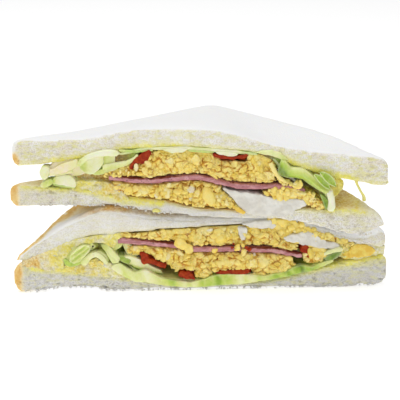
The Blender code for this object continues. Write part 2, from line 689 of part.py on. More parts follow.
def make_lower_fillings(kit):
    ham = strip(LOWER_HAM, HAM_THICKNESS)
    under_tomatoes = {
        "lower_tomato_left": strip(LOWER_TOMATO_LEFT, TOMATO_THICKNESS),
        "lower_tomato_middle": strip(LOWER_TOMATO_MIDDLE, TOMATO_THICKNESS),
        "lower_tomato_right": strip(LOWER_TOMATO_RIGHT, TOMATO_THICKNESS),
    }
    tomato_end = strip(LOWER_TOMATO_END, TOMATO_END_THICKNESS)
    white = wedge(LOWER_WHITE_UNDER, LOWER_WHITE_TOP)
    sheet = strip(LOWER_LEAF_SHEET, SHEET_THICKNESS)
    cradle = strip(LOWER_CRADLE, LEAF_THICKNESS)
    spread = Layer(SPREAD_TOP[0][0], SPREAD_TOP[-1][0],
                   lambda u: height("lower", "base_top", u, 0.0) + LAYER_GAP,
                   lambda u: min(curve(SPREAD_TOP, u),
                                 height("lower", "lid_under", u, 0.0) - LAYER_GAP))

    make_layer(kit, "lower", "lower_ham", ham, "ham")
    for name, layer in under_tomatoes.items():
        make_layer(kit, "lower", name, layer, "tomato")
    make_layer(kit, "lower", "lower_tomato_end", tomato_end, "tomato")
    make_layer(kit, "lower", "lower_egg_white", white, "egg_white")
    make_layer(kit, "lower", "lower_spread", spread, "spread")
    make_heap(kit, "lower", "lower_egg_top_layer", [ham], [white])
    make_heap(kit, "lower", "lower_egg_bottom_layer",
              [sheet, cradle] + list(under_tomatoes.values()), [ham])

    make_leaf(kit, "lower", "lower_lettuce_sheet", LOWER_LEAF_SHEET, SHEET_THICKNESS)
    make_leaf(kit, "lower", "lower_lettuce_curl", LOWER_LEAF_CURL, LEAF_THICKNESS, CURL_PITCH)
    make_leaf(kit, "lower", "lower_lettuce_arch", LOWER_LEAF_ARCH, LEAF_THICKNESS, CURL_PITCH)


def main():
    clear_scene()
    collection = bpy.data.collections.new(OBJECT_NAME)
    bpy.context.scene.collection.children.link(collection)
    kit = {
        "collection": collection,
        "materials": {name: make_material(name) for name in COLOURS},
        "empties": make_half_empties(),
    }
    make_bread(kit)
    make_upper_fillings(kit)
    make_lower_fillings(kit)


main()
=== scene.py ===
"""Ham and egg sandwich: two stacked halves of one white-bread sandwich, cut faces to the front.

Shapes are worked out in millimetres in a half's own frame and turned into the sandwich's
frame when a piece is placed: u runs along the cut to the right, v runs back from the cut
to the right-angled corner, z is the height over the table.
"""

import math

import bmesh
import bpy
import numpy as np
from bpy.props import FloatProperty, FloatVectorProperty, IntProperty, PointerProperty
from mathutils import Euler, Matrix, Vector
from mathutils.bvhtree import BVHTree


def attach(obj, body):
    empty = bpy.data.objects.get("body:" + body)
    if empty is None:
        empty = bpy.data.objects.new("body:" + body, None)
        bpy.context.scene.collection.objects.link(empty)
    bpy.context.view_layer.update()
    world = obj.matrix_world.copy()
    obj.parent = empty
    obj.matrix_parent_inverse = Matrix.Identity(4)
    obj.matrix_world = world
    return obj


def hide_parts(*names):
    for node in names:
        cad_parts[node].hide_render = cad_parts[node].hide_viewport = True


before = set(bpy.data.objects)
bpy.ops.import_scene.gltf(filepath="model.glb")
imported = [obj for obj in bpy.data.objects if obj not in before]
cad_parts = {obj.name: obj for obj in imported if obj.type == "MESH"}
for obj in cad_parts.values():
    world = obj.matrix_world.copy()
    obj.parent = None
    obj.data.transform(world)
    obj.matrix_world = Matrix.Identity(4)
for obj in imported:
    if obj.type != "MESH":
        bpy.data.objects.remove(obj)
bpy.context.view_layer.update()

bl_info = {
    "name": "Ham and Egg Sandwich",
    "version": (1, 0, 0),
    "blender": (4, 5, 0),
    "location": "3D View > Sidebar > Sandwich",
    "description": "Dresses the solids of a ham and egg sandwich with crumb, curds and leaves",
    "category": "Add Mesh",
}

MM = 0.001
# A half's own frame: its turn and how far its cut lies in front of the middle (mm)
TURN = {"lower": math.radians(3.5), "upper": math.radians(-3.5)}
CUT_TO_CENTRE = {"lower": 26.0, "upper": 27.0}
# A square slice cut corner to corner: how far it would reach with sharp corners, along the cut
# and back from it, and where the centres of its rounded corners lie (mm)
SLICE_SIDE = 115.0
CORNER_RADIUS = 9.0
REACH = SLICE_SIDE / math.sqrt(2)
TIP_CENTRE = REACH - CORNER_RADIUS * (math.sqrt(2) - 1) - CORNER_RADIUS
APEX_CENTRE = REACH - CORNER_RADIUS * math.sqrt(2)


# ---------------------------------------------------------------- numbers and grain

def ramp(value, start, end):
    """Smooth step from 0 at start to 1 at end."""
    share = np.clip((value - start) / (end - start), 0.0, 1.0)
    return share * share * (3 - 2 * share)


def along(points, place):
    """Heights at places of the line through (place, height) points, or one height everywhere."""
    if isinstance(points, (int, float)):
        return np.full(np.shape(place), float(points))
    points = np.array(points, float)
    return np.interp(place, points[:, 0], points[:, 1])


def dice(places, seed):
    """A random number from 0 to 1 for each whole-number place."""
    n = (places[..., 0] * 73856093 ^ places[..., 1] * 19349663 ^ places[..., 2] * 83492791
         ^ seed * 40503) & 0x7FFFFFFF
    n = ((n ^ (n >> 15)) * 739982445) & 0x7FFFFFFF
    n = ((n ^ (n >> 12)) * 695872825) & 0x7FFFFFFF
    return (n ^ (n >> 15)) / 0x7FFFFFFF


def swell(points, size, seed):
    """Soft unevenness from -1 to 1 of about one size."""
    places = points / size + seed * 7.31
    base = np.floor(places).astype(np.int64)
    share = places - base
    share = share * share * (3 - 2 * share)
    total = np.zeros(len(points))
    for corner in np.ndindex(2, 2, 2):
        weight = np.prod(np.where(np.array(corner) == 1, share, 1 - share), axis=1)
        total += weight * dice(base + np.array(corner), seed)
    return 2 * total - 1


def grain(points, size, seed, octaves=3):
    """Soft unevenness with finer and finer grain on it."""
    tilt = np.array(Euler((0.6, 0.9, 0.4)).to_matrix())
    total, strength, reach = np.zeros(len(points)), 1.0, 0.0
    for octave in range(octaves):
        total += strength * swell(points, size, seed + octave)
        reach += strength
        points, size, strength = points @ tilt.T, size * 0.5, strength * 0.55
    return total / reach


def cells(points, size, seed):
    """Scattered spots: distances to the nearest two, in sizes, its random number and its lean."""
    places = points / size
    base = np.floor(places).astype(np.int64)
    nearest, second = np.full(len(points), 9.0), np.full(len(points), 9.0)
    number, lean = np.zeros(len(points)), np.zeros(len(points))
    for step in np.ndindex(3, 3, 3):
        cell = base + np.array(step) - 1
        spot = cell + np.stack([dice(cell, seed + turn) for turn in (1, 2, 3)], axis=1)
        way = np.stack([dice(cell, seed + turn) for turn in (5, 6, 7)], axis=1) - 0.5
        distance = np.linalg.norm(places - spot, axis=1)
        closer = distance < nearest
        second = np.where(closer, nearest, np.minimum(second, distance))
        nearest = np.where(closer, distance, nearest)
        number = np.where(closer, dice(cell, seed + 4), number)
        lean = np.where(closer, ((places - spot) * way).sum(axis=1), lean)
    return nearest, second, number, lean


def pits(points, size, share, seed):
    """Depth from 0 to 1 of round holes of mixed widths, in a share of the crumb's cells."""
    nearest, _, number, _ = cells(points, size, seed)
    radius = 0.22 + 0.34 * (number / share) ** 1.5
    return np.where(number < share, np.clip(1 - nearest / radius, 0.0, 1.0) ** 0.7, 0.0)


# ---------------------------------------------------------------- a half's own frame

def half_of(name):
    """The half that a name begins with."""
    return name.split("_")[0]


def to_half(half, points):
    """Points of the sandwich's frame, in metres, in a half's own frame, in millimetres."""
    x, y, z = points.T / MM
    y = y + CUT_TO_CENTRE[half]
    c, s = math.cos(TURN[half]), math.sin(TURN[half])
    return np.stack((x * c + y * s, y * c - x * s, z), axis=1)


def to_sandwich(half, points):
    """Points of a half's own frame, in millimetres, in the sandwich's frame, in metres."""
    u, v, z = points.T
    c, s = math.cos(TURN[half]), math.sin(TURN[half])
    return np.stack((u * c - v * s, u * s + v * c - CUT_TO_CENTRE[half], z), axis=1) * MM


def crust_distance(u, v):
    """Distance from points inside a half to its rounded crust sides."""
    side = np.abs(u)
    straight = (REACH - side - v) / math.sqrt(2)
    tip = CORNER_RADIUS - np.hypot(side - TIP_CENTRE, v)
    apex = CORNER_RADIUS - np.hypot(side, v - APEX_CENTRE)
    return np.where(side - v > TIP_CENTRE, tip, np.where(v - side > APEX_CENTRE, apex, straight))


class Room:
    """Heights of the four bread faces of a half, read from its two solids by rays up and down."""

    STEP = 1.0
    BEHIND_CUT = 0.3
    INSIDE_CRUST = 0.2
    FACES = {"base_under": ("bottom_slice", 1), "base_top": ("bottom_slice", -1),
             "lid_under": ("top_slice", 1), "lid_top": ("top_slice", -1)}

    def __init__(self, half):
        self.half = half
        self.u = np.arange(-78.0, 78.5, self.STEP)
        self.v = np.arange(0.0, 80.0, self.STEP)
        graph = bpy.context.evaluated_depsgraph_get()
        self.heights = {}
        for face, (part, way) in self.FACES.items():
            tree = BVHTree.FromObject(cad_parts[half + "_" + part], graph)
            self.heights[face] = self.read(tree, way)

    def read(self, tree, way):
        """A grid of heights; what the rays miss takes the height of the nearest spot they meet."""
        grid = np.full((len(self.u), len(self.v)), np.nan)
        for i, u in enumerate(self.u):
            row = np.stack((np.full(len(self.v), u), np.maximum(self.v, self.BEHIND_CUT),
                            np.zeros(len(self.v))), axis=1)
            inside = crust_distance(row[:, 0], row[:, 1]) > self.INSIDE_CRUST
            for j in np.flatnonzero(inside):
                x, y, _ = to_sandwich(self.half, row[j:j + 1])[0]
                hit = tree.ray_cast(Vector((x, y, -0.05 * way + 0.03)), Vector((0, 0, way)))[0]
                if hit is not None:
                    grid[i, j] = hit.z / MM
        for i in range(len(self.u)):
            known = np.flatnonzero(~np.isnan(grid[i]))
            if len(known):
                grid[i] = np.interp(np.arange(len(self.v)), known, grid[i, known])
        known = np.flatnonzero(~np.isnan(grid[:, 0]))
        for j in range(len(self.v)):
            grid[:, j] = np.interp(np.arange(len(self.u)), known, grid[known, j])
        return grid

    def height(self, face, u, v):
        """Height of a face at places, between the grid's points."""
        grid = self.heights[face]
        i = np.clip((u - self.u[0]) / self.STEP, 0, len(self.u) - 1.001)
        j = np.clip(v / self.STEP, 0, len(self.v) - 1.001)
        i0, j0 = i.astype(int), j.astype(int)
        i, j = i - i0, j - j0
        return ((grid[i0, j0] * (1 - i) + grid[i0 + 1, j0] * i) * (1 - j)
                + (grid[i0, j0 + 1] * (1 - i) + grid[i0 + 1, j0 + 1] * i) * j)

    def settle(self, points):
        """Carry points drawn behind the cut to their places between the two slices."""
        place, v = points[:, 0], np.maximum(points[:, 1], 0.0)
        floor, roof = (self.height(face, place, np.zeros_like(v))
                       for face in ("base_top", "lid_under"))
        share = (points[:, 2] - floor) / (roof - floor)
        u = place * (REACH - v) / REACH
        slack = 0.7 * ramp(v, 0.0, 8.0)
        floor = self.height("base_top", u, v) + slack
        roof = self.height("lid_under", u, v) - slack
        return np.stack((u, points[:, 1], floor + share * (roof - floor)), axis=1)


ROOMS = {half: Room(half) for half in TURN}


# ---------------------------------------------------------------- nets of points and triangles

def pointing(points, faces):
    """The outward direction at each point."""
    a, b, c = (points[faces[:, i]] for i in range(3))
    flat = np.cross(b - a, c - a)
    total = np.zeros_like(points)
    for i in range(3):
        for axis in range(3):
            total[:, axis] += np.bincount(faces[:, i], flat[:, axis], len(points))
    return total / np.maximum(np.linalg.norm(total, axis=1, keepdims=True), 1e-12)


def relax(points, faces, share, rounds):
    """Draw each point towards the middle of its neighbours."""
    pairs = np.concatenate((faces[:, [0, 1]], faces[:, [1, 2]], faces[:, [2, 0]]))
    pairs = np.concatenate((pairs, pairs[:, ::-1]))
    count = np.maximum(np.bincount(pairs[:, 0], minlength=len(points)), 1)
    for _ in range(rounds):
        mean = np.stack([np.bincount(pairs[:, 0], points[pairs[:, 1], axis], len(points)) / count
                         for axis in range(3)], axis=1)
        points = points + (mean - points) * share
    return points


def arrays(bm):
    """The points and triangles of a bmesh, which is then freed."""
    bmesh.ops.triangulate(bm, faces=bm.faces)
    bm.verts.index_update()
    points = np.array([vert.co for vert in bm.verts])
    faces = np.array([[vert.index for vert in face.verts] for face in bm.faces])
    bm.free()
    return points, faces


def remesh(bm, voxel, reach=0.0, cuts=0):
    """An even fine net over a closed form, finer still in front of a depth."""
    mesh = bpy.data.meshes.new("form")
    bm.to_mesh(mesh)
    bm.free()
    helper = bpy.data.objects.new("form", mesh)
    bpy.context.scene.collection.objects.link(helper)
    modifier = helper.modifiers.new("Even", "REMESH")
    modifier.mode = "VOXEL"
    modifier.voxel_size = voxel
    graph = bpy.context.evaluated_depsgraph_get()
    fine = bmesh.new()
    fine.from_mesh(helper.evaluated_get(graph).to_mesh())
    bpy.data.objects.remove(helper)
    bpy.data.meshes.remove(mesh)
    for _ in range(cuts):
        front = [edge for edge in fine.edges if all(vert.co.y < reach for vert in edge.verts)]
        bmesh.ops.subdivide_edges(fine, edges=front, cuts=1, use_grid_fill=True)
    return arrays(fine)


def fine_net(node, voxel, reach=0.0, cuts=0):
    """An even net over a solid, in its half's frame."""
    bm = bmesh.new()
    bm.from_mesh(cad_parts[node].data)
    places = to_half(half_of(node), np.array([vert.co for vert in bm.verts]))
    for vert, place in zip(bm.verts, places):
        vert.co = place
    bmesh.ops.remove_doubles(bm, verts=bm.verts, dist=0.002)
    return remesh(bm, voxel, reach, cuts)


def outline_net(outline, front, back, voxel, rounds):
    """A rounded form with a (u, z) outline, from a front to a back depth."""
    bm = bmesh.new()
    face = bm.faces.new([bm.verts.new((u, front, z)) for u, z in outline])
    for part in bmesh.ops.extrude_face_region(bm, geom=[face])["geom"]:
        if isinstance(part, bmesh.types.BMVert):
            part.co.y = back
    bmesh.ops.recalc_face_normals(bm, faces=bm.faces)
    points, faces = remesh(bm, voxel)
    return relax(points, faces, 0.5, rounds), faces


def rim_distance(points, outline):
    """How far points lie from a (u, z) outline, seen from the front."""
    ring = np.array(outline, float)
    a, b = ring, np.roll(ring, -1, axis=0)
    spots = points[:, [0, 2]][:, None]
    share = ((spots - a) * (b - a)).sum(axis=2) / np.maximum(((b - a) ** 2).sum(axis=1), 1e-9)
    near = a + np.clip(share, 0, 1)[..., None] * (b - a)
    return np.linalg.norm(spots - near, axis=2).min(axis=1)


def patch_net(outline, front, back, lean=(0.0, 0.0), dish=0.0, voxel=0.4, rounds=3, uneven=0.12,
              seed=0):
    """A soft form with a (u, z) outline; its front face leans, and is dished or swollen (mm)."""
    points, faces = outline_net(outline, front, back, voxel, rounds)
    inside = rim_distance(points, outline)
    ahead = 1 - ramp(points[:, 1], front, back)
    middle = np.mean(outline, axis=0)
    tip = lean[0] * (points[:, 0] - middle[0]) + lean[1] * (points[:, 2] - middle[1])
    points[:, 1] += ahead * (tip + dish * ramp(inside, 0.2, 1.8))
    points = points + pointing(points, faces) * (uneven * grain(points, 2.0, seed))[:, None]
    return points, faces, inside


def ball(detail):
    """Points and triangles of a round ball of radius 1."""
    bm = bmesh.new()
    bmesh.ops.create_icosphere(bm, subdivisions=detail, radius=1.0)
    return arrays(bm)


def grid_faces(rows, columns, first=0, flip=False):
    """Triangles between rows of points."""
    i, j = np.meshgrid(np.arange(rows - 1), np.arange(columns - 1), indexing="ij")
    a = (first + i * columns + j).ravel()
    quads = np.stack((a, a + 1, a + columns + 1, a + columns), axis=1)
    if flip:
        quads = quads[:, ::-1]
    return np.concatenate((quads[:, [0, 1, 2]], quads[:, [0, 2, 3]]))


def smooth_path(points, pitch):
    """Evenly spaced points on the smooth line through points of any width."""
    points = np.array(points, float)
    padded = np.concatenate((2 * points[:1] - points[1:2], points, 2 * points[-1:] - points[-2:-1]))
    fine = []
    for a, b, c, d in zip(padded, padded[1:], padded[2:], padded[3:]):
        for t in np.linspace(0, 1, 12, endpoint=False):
            fine.append(0.5 * (2 * b + (c - a) * t + (2 * a - 5 * b + 4 * c - d) * t ** 2
                               + (3 * b - a - 3 * c + d) * t ** 3))
    fine.append(points[-1])
    fine = np.array(fine)
    steps = np.linalg.norm(np.diff(fine[:, :2], axis=0), axis=1)
    lengths = np.concatenate(([0.0], np.cumsum(steps)))
    count = max(int(round(lengths[-1] / pitch)), 4) + 1
    at = np.linspace(0, lengths[-1], count)
    columns = [np.interp(at, lengths, fine[:, axis]) for axis in range(fine.shape[1])]
    return np.stack(columns, axis=1), at


def sheet_normal(middle):
    """The direction through a sheet at each of its grid's points."""
    normal = np.cross(np.gradient(middle, axis=1), np.gradient(middle, axis=0))
    return normal / np.maximum(np.linalg.norm(normal, axis=2, keepdims=True), 1e-9)


def sheet_net(middle, thickness):
    """A closed thin form: a grid of middle points with a thickness at each."""
    rows, columns = middle.shape[:2]
    offset = sheet_normal(middle) * thickness[..., None] / 2
    points = np.concatenate(((middle + offset).reshape(-1, 3), (middle - offset).reshape(-1, 3)))
    size = rows * columns
    number = np.arange(size).reshape(rows, columns)
    rim = np.concatenate((number[0, :-1], number[:-1, -1], number[-1, :0:-1], number[:0:-1, 0]))
    after = np.roll(rim, -1)
    faces = np.concatenate((
        grid_faces(rows, columns), grid_faces(rows, columns, size, flip=True),
        np.stack((rim, rim + size, after), axis=1),
        np.stack((after, rim + size, after + size), axis=1)))
    return points, faces


def both_sides(values, shape):
    """Numbers on a sheet's grid, for the points of its two sides."""
    return np.tile(np.broadcast_to(values, shape).ravel(), 2)


def blunt(share):
    """A rounded end: its thickness, as a share of the full one, towards the inside."""
    return np.sqrt(np.clip(1 - (1 - share) ** 2, 0, 1)) * 0.92 + 0.08


# Distance between a leaf's points along the cut (mm), its rows behind the rounded front edge,
# and where the rows of that edge lie in it
LEAF_PITCH = 0.55
LEAF_ROWS = 16
LEAF_EDGE = np.array([0.0, 0.05, 0.18, 0.38, 0.65, 1.0])


def row_depths(reach, edge):
    """Depths of a leaf's rows: close together round the front edge, then wider and wider."""
    rest = edge + (reach - edge) * np.linspace(0, 1, LEAF_ROWS)[1:] ** 2.2
    return np.concatenate((edge * LEAF_EDGE, rest))


def leaf_net(half, look):
    """A fleshy wavy leaf: its line at the cut, carried back between the slices."""
    line, at = smooth_path(look["path"], LEAF_PITCH)
    frill, seed, wave = look["frill"], look["seed"], look.get("wave", 6.0)
    starts, ends = (along(look[name], at / at[-1]) for name in ("front", "back"))
    thick = np.maximum(line[:, 2], 0.15)
    spots = np.stack((at, np.zeros_like(at), np.zeros_like(at)), axis=1)
    starts = starts + frill * 0.8 * grain(spots, wave * 0.5, seed + 5)
    depth = np.stack([row_depths(end - start, 0.5 * t)
                      for start, end, t in zip(starts, ends, thick)], axis=1)
    v = starts + depth
    shape = v.shape
    edge = np.clip(depth / (0.5 * thick), 0, 1)
    side = np.minimum(at, at[-1] - at) / np.maximum(thick, 0.3)
    taper = blunt(edge) * blunt(np.clip(side, 0, 1))
    middle = np.stack((np.broadcast_to(line[:, 0], shape), v,
                       np.broadcast_to(line[:, 1], shape)), axis=2).reshape(-1, 3)
    behind = ramp(middle[:, 1], 0.0, 1.0)[:, None]
    middle = middle * (1 - behind) + ROOMS[half].settle(middle) * behind
    middle = middle.reshape(shape + (3,))
    spots = np.stack((np.broadcast_to(at, shape), v * 0.7, np.zeros_like(v)), axis=2).reshape(-1, 3)
    ruffle = grain(spots, wave, seed, 2).reshape(shape) * frill * (1 - 0.75 * ramp(depth, 1.0, 9.0))
    middle = middle + sheet_normal(middle) * ruffle[..., None]
    points, faces = sheet_net(middle, thick * taper)
    marks = {"green": line[:, 3], "rim": 1 - edge, "leaf_u": at, "leaf_v": v}
    return points, faces, {name: both_sides(values, shape) for name, values in marks.items()}


def lobe_net(start, end, width, seed):
    """A small cupped leaflet between two ends, hollow towards the front."""
    cup, bend, thickness = 1.1, 0.5, 0.6
    start, end = np.array(start, float), np.array(end, float)
    axis = end - start
    length = np.linalg.norm(axis)
    axis = axis / length
    up = np.array((0.35, -1.0, 0.35))
    up = up - axis * (up @ axis)
    up /= np.linalg.norm(up)
    side = np.cross(axis, up)
    s, t = np.meshgrid(np.linspace(0, 1, 26), np.linspace(-1, 1, 19), indexing="ij")
    half_width = width / 2 * np.sin(np.pi * np.clip(s, 0.02, 0.98)) ** 0.6
    across = half_width * t
    rise = cup * (t ** 2) * np.sin(np.pi * s) ** 0.5 + bend * np.sin(np.pi * s)
    middle = (start + axis * (s * length)[..., None] + side * across[..., None]
              + up * rise[..., None])
    ripple = grain(middle.reshape(-1, 3), 2.2, seed, 2).reshape(s.shape) * 0.22
    middle = middle + up * ripple[..., None]
    taper = 0.35 + 0.65 * np.sqrt(np.clip(1 - t ** 2, 0, 1))
    points, faces = sheet_net(middle, thickness * taper)
    marks = {"green": 0.8, "rim": ramp(np.abs(t), 0.72, 1.0), "leaf_u": s * length,
             "leaf_v": across + width}
    return points, faces, {name: both_sides(values, s.shape) for name, values in marks.items()}


def string_net(path):
    """A soft round string along (u, v, z, radius) points."""
    pitch, sides = 0.35, 10
    line, _ = smooth_path(path, pitch)
    centre, radius = line[:, :3], line[:, 3]
    tangent = np.gradient(centre, axis=0)
    tangent /= np.linalg.norm(tangent, axis=1, keepdims=True)
    first = np.cross(tangent, np.array([0.0, 1.0, 0.0]))
    first /= np.maximum(np.linalg.norm(first, axis=1, keepdims=True), 1e-9)
    second = np.cross(tangent, first)
    turn = np.linspace(0, 2 * math.pi, sides, endpoint=False)
    round_it = first[:, None] * np.cos(turn)[:, None] + second[:, None] * np.sin(turn)[:, None]
    rings = centre[:, None] + radius[:, None, None] * round_it
    points = np.concatenate((rings.reshape(-1, 3), centre[:1], centre[-1:]))
    faces = []
    for i in range(len(line) - 1):
        for j in range(sides):
            a, b = i * sides + j, i * sides + (j + 1) % sides
            faces += [(a, b, b + sides), (a, b + sides, a + sides)]
    last = (len(line) - 1) * sides
    for j in range(sides):
        k = (j + 1) % sides
        faces += [(k, j, len(points) - 2), (last + j, last + k, len(points) - 1)]
    return points, np.array(faces)


def lump_nets(spots, rough, seed):
    """Crumbly lumps, one for each row of (u, v, z, radius): a net of the small and one of the
    large ones, each with the row's number on its points."""
    large, flat_sides = 1.5, 7
    chance = np.random.default_rng(seed)
    spots = np.array(spots, float)
    nets = []
    for detail, chosen in ((2, spots[:, 3] <= large), (3, spots[:, 3] > large)):
        rows = spots[chosen]
        if not len(rows):
            continue
        base, faces = ball(detail)
        count = len(rows)
        shift = chance.uniform(-50, 50, (count, 1, 3))
        shape = np.broadcast_to(base, (count,) + base.shape)
        for _ in range(flat_sides):
            way = chance.normal(size=(count, 1, 3))
            way /= np.linalg.norm(way, axis=2, keepdims=True)
            limit = chance.uniform(0.5, 0.9, (count, 1))
            over = np.maximum((shape * way).sum(axis=2) - limit, 0.0)
            shape = shape - way * (over * 0.9)[..., None]
        spread = (shape + shift).reshape(-1, 3)
        size = (1 + 0.22 * swell(spread, 0.9, seed)
                + rough * 0.14 * grain(spread, 0.42, seed + 2)
                + rough * 0.06 * swell(spread, 0.16, seed + 5))
        shape = shape * size.reshape(count, -1)[..., None]
        stretch = chance.uniform(0.62, 1.25, (count, 1, 3))
        turned = shape * stretch * rows[:, None, 3:4]
        for k in range(count):
            turn = np.array(Euler(chance.uniform(0, math.tau, 3)).to_matrix())
            turned[k] = turned[k] @ turn.T + rows[k, :3]
        offsets = np.arange(count) * len(base)
        nets.append((turned.reshape(-1, 3), (faces + offsets[:, None, None]).reshape(-1, 3),
                     np.repeat(np.flatnonzero(chosen), len(base))))
    return nets


class Piece:
    """Nets gathered into one object, with numbers on their points for the finish to read."""

    def __init__(self, name):
        self.name = name
        self.points, self.faces, self.marks, self.count = [], [], [], 0

    def add(self, points, faces, marks=None):
        """Take in a net and its marks: for each name, one number or one for each point."""
        self.points.append(points)
        self.faces.append(faces + self.count)
        self.marks.append(marks or {})
        self.count += len(points)
        return self

    def gathered(self, name):
        """One mark on all the points, 0 on the nets that don't have it."""
        return np.concatenate([np.broadcast_to(marks.get(name, 0.0), len(points))
                               for points, marks in zip(self.points, self.marks)])

    def place(self, finish, slot, *nodes):
        """Put the piece into the scene, riding on the sandwich."""
        points = to_sandwich(half_of(self.name), np.concatenate(self.points))
        mesh = bpy.data.meshes.new(self.name)
        mesh.from_pydata(points, [], np.concatenate(self.faces))
        for name in sorted({name for marks in self.marks for name in marks}):
            mark = mesh.attributes.new(name, "FLOAT", "POINT")
            mark.data.foreach_set("value", self.gathered(name).astype(np.float32))
        mesh.validate()
        mesh.shade_smooth()
        mesh.materials.append(finish)
        thing = bpy.data.objects.new(self.name, mesh)
        bpy.context.scene.collection.objects.link(thing)
        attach(thing, "root")
        if nodes:
            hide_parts(*nodes)


# ---------------------------------------------------------------- finishes

def colour(red, green, blue):
    """A paint-chart colour, from 0 to 255, as the shader takes it."""
    def linear(value):
        value /= 255
        return value / 12.92 if value <= 0.04045 else ((value + 0.055) / 1.055) ** 2.4
    return (linear(red), linear(green), linear(blue), 1.0)


class Value:
    """A node's output that can stand in a sum."""

    def __init__(self, finish, socket):
        self.finish, self.socket = finish, socket

    def __add__(self, other):
        return self.finish.sum("ADD", self, other)

    def __sub__(self, other):
        return self.finish.sum("SUBTRACT", self, other)

    def __rsub__(self, other):
        return self.finish.sum("SUBTRACT", other, self)

    def __mul__(self, other):
        return self.finish.sum("MULTIPLY", self, other)

    __radd__, __rmul__ = __add__, __mul__

    def limited(self):
        """Kept between 0 and 1."""
        return self.finish.node("ShaderNodeClamp", {}, {"Value": self})

    def over(self, start, end):
        """Smooth step from 0 at start to 1 at end."""
        return self.finish.node("ShaderNodeMapRange", {"interpolation_type": "SMOOTHSTEP"},
                                {"Value": self, "From Min": start, "From Max": end})


class Finish:
    """A procedural finish, its patterns in millimetres on the object."""

    def __init__(self, name):
        self.material = bpy.data.materials.new(name)
        self.material.use_nodes = True
        self.tree = self.material.node_tree
        self.shader = self.tree.nodes["Principled BSDF"]
        self.spot = self.node("ShaderNodeTexCoord", {}, {}, "Object")

    def node(self, kind, settings, inputs, output=0):
        """A node of any kind, its settings first, then the values or links of its sockets."""
        made = self.tree.nodes.new(kind)
        for name, value in settings.items():
            if name == "stops":
                stops = made.color_ramp.elements
                while len(stops) < len(value):
                    stops.new(0.5)
                for stop, (place, tone) in zip(stops, value):
                    stop.position, stop.color = place, tone
            else:
                setattr(made, name, value)
        for name, value in inputs.items():
            self.feed(made.inputs[name], value)
        return Value(self, made.outputs[output])

    def feed(self, socket, value):
        if isinstance(value, Value):
            self.tree.links.new(value.socket, socket)
        else:
            socket.default_value = value

    def sum(self, operation, first, second):
        return self.node("ShaderNodeMath", {"operation": operation}, {0: first, 1: second})

    def mark(self, name):
        """A number that the piece carries on its points."""
        return self.node("ShaderNodeAttribute", {"attribute_name": name}, {}, "Fac")

    def mix(self, share, first, second):
        """The first colour going over into the second."""
        return self.node("ShaderNodeMix", {"data_type": "RGBA"}, {0: share, 6: first, 7: second}, 2)

    def stretched(self, u, v, z):
        """Places for a pattern that is drawn out along each way."""
        return self.node("ShaderNodeVectorMath", {"operation": "MULTIPLY"},
                         {0: self.spot, 1: (1 / u, 1 / v, 1 / z)})

    def noise(self, size, roughness=0.55, detail=3.0, spot=None, distortion=0.0):
        """Soft uneven patches of a size in millimetres."""
        return self.node("ShaderNodeTexNoise", {"noise_dimensions": "3D"},
                         {"Vector": spot or self.spot, "Scale": 1 / (size * MM), "Detail": detail,
                          "Roughness": roughness, "Distortion": distortion})

    def cells(self, size):
        """Distance to the nearest of scattered spots, in sizes."""
        return self.node("ShaderNodeTexVoronoi", {"feature": "F1"},
                         {"Vector": self.spot, "Scale": 1 / (size * MM)}, "Distance")

    def bump(self, height, depth, strength):
        """Fine relief of a depth in millimetres."""
        self.set(Normal=self.node("ShaderNodeBump", {}, {
            "Height": height, "Distance": depth * MM, "Strength": strength}, "Normal"))

    def glow(self, weight, depth, *tint):
        """Light that sinks into soft food by millimetres, each colour by its own share."""
        self.set(Subsurface_Weight=weight, Subsurface_Scale=depth * MM, Subsurface_Radius=tint)

    def coat(self, weight, roughness):
        """A thin wet film."""
        self.set(Coat_Weight=weight, Coat_Roughness=roughness)

    def set(self, **values):
        """Set sockets of the shader, named with underscores for spaces."""
        for name, value in values.items():
            self.feed(self.shader.inputs[name.replace("_", " ")], value)
        return self.material


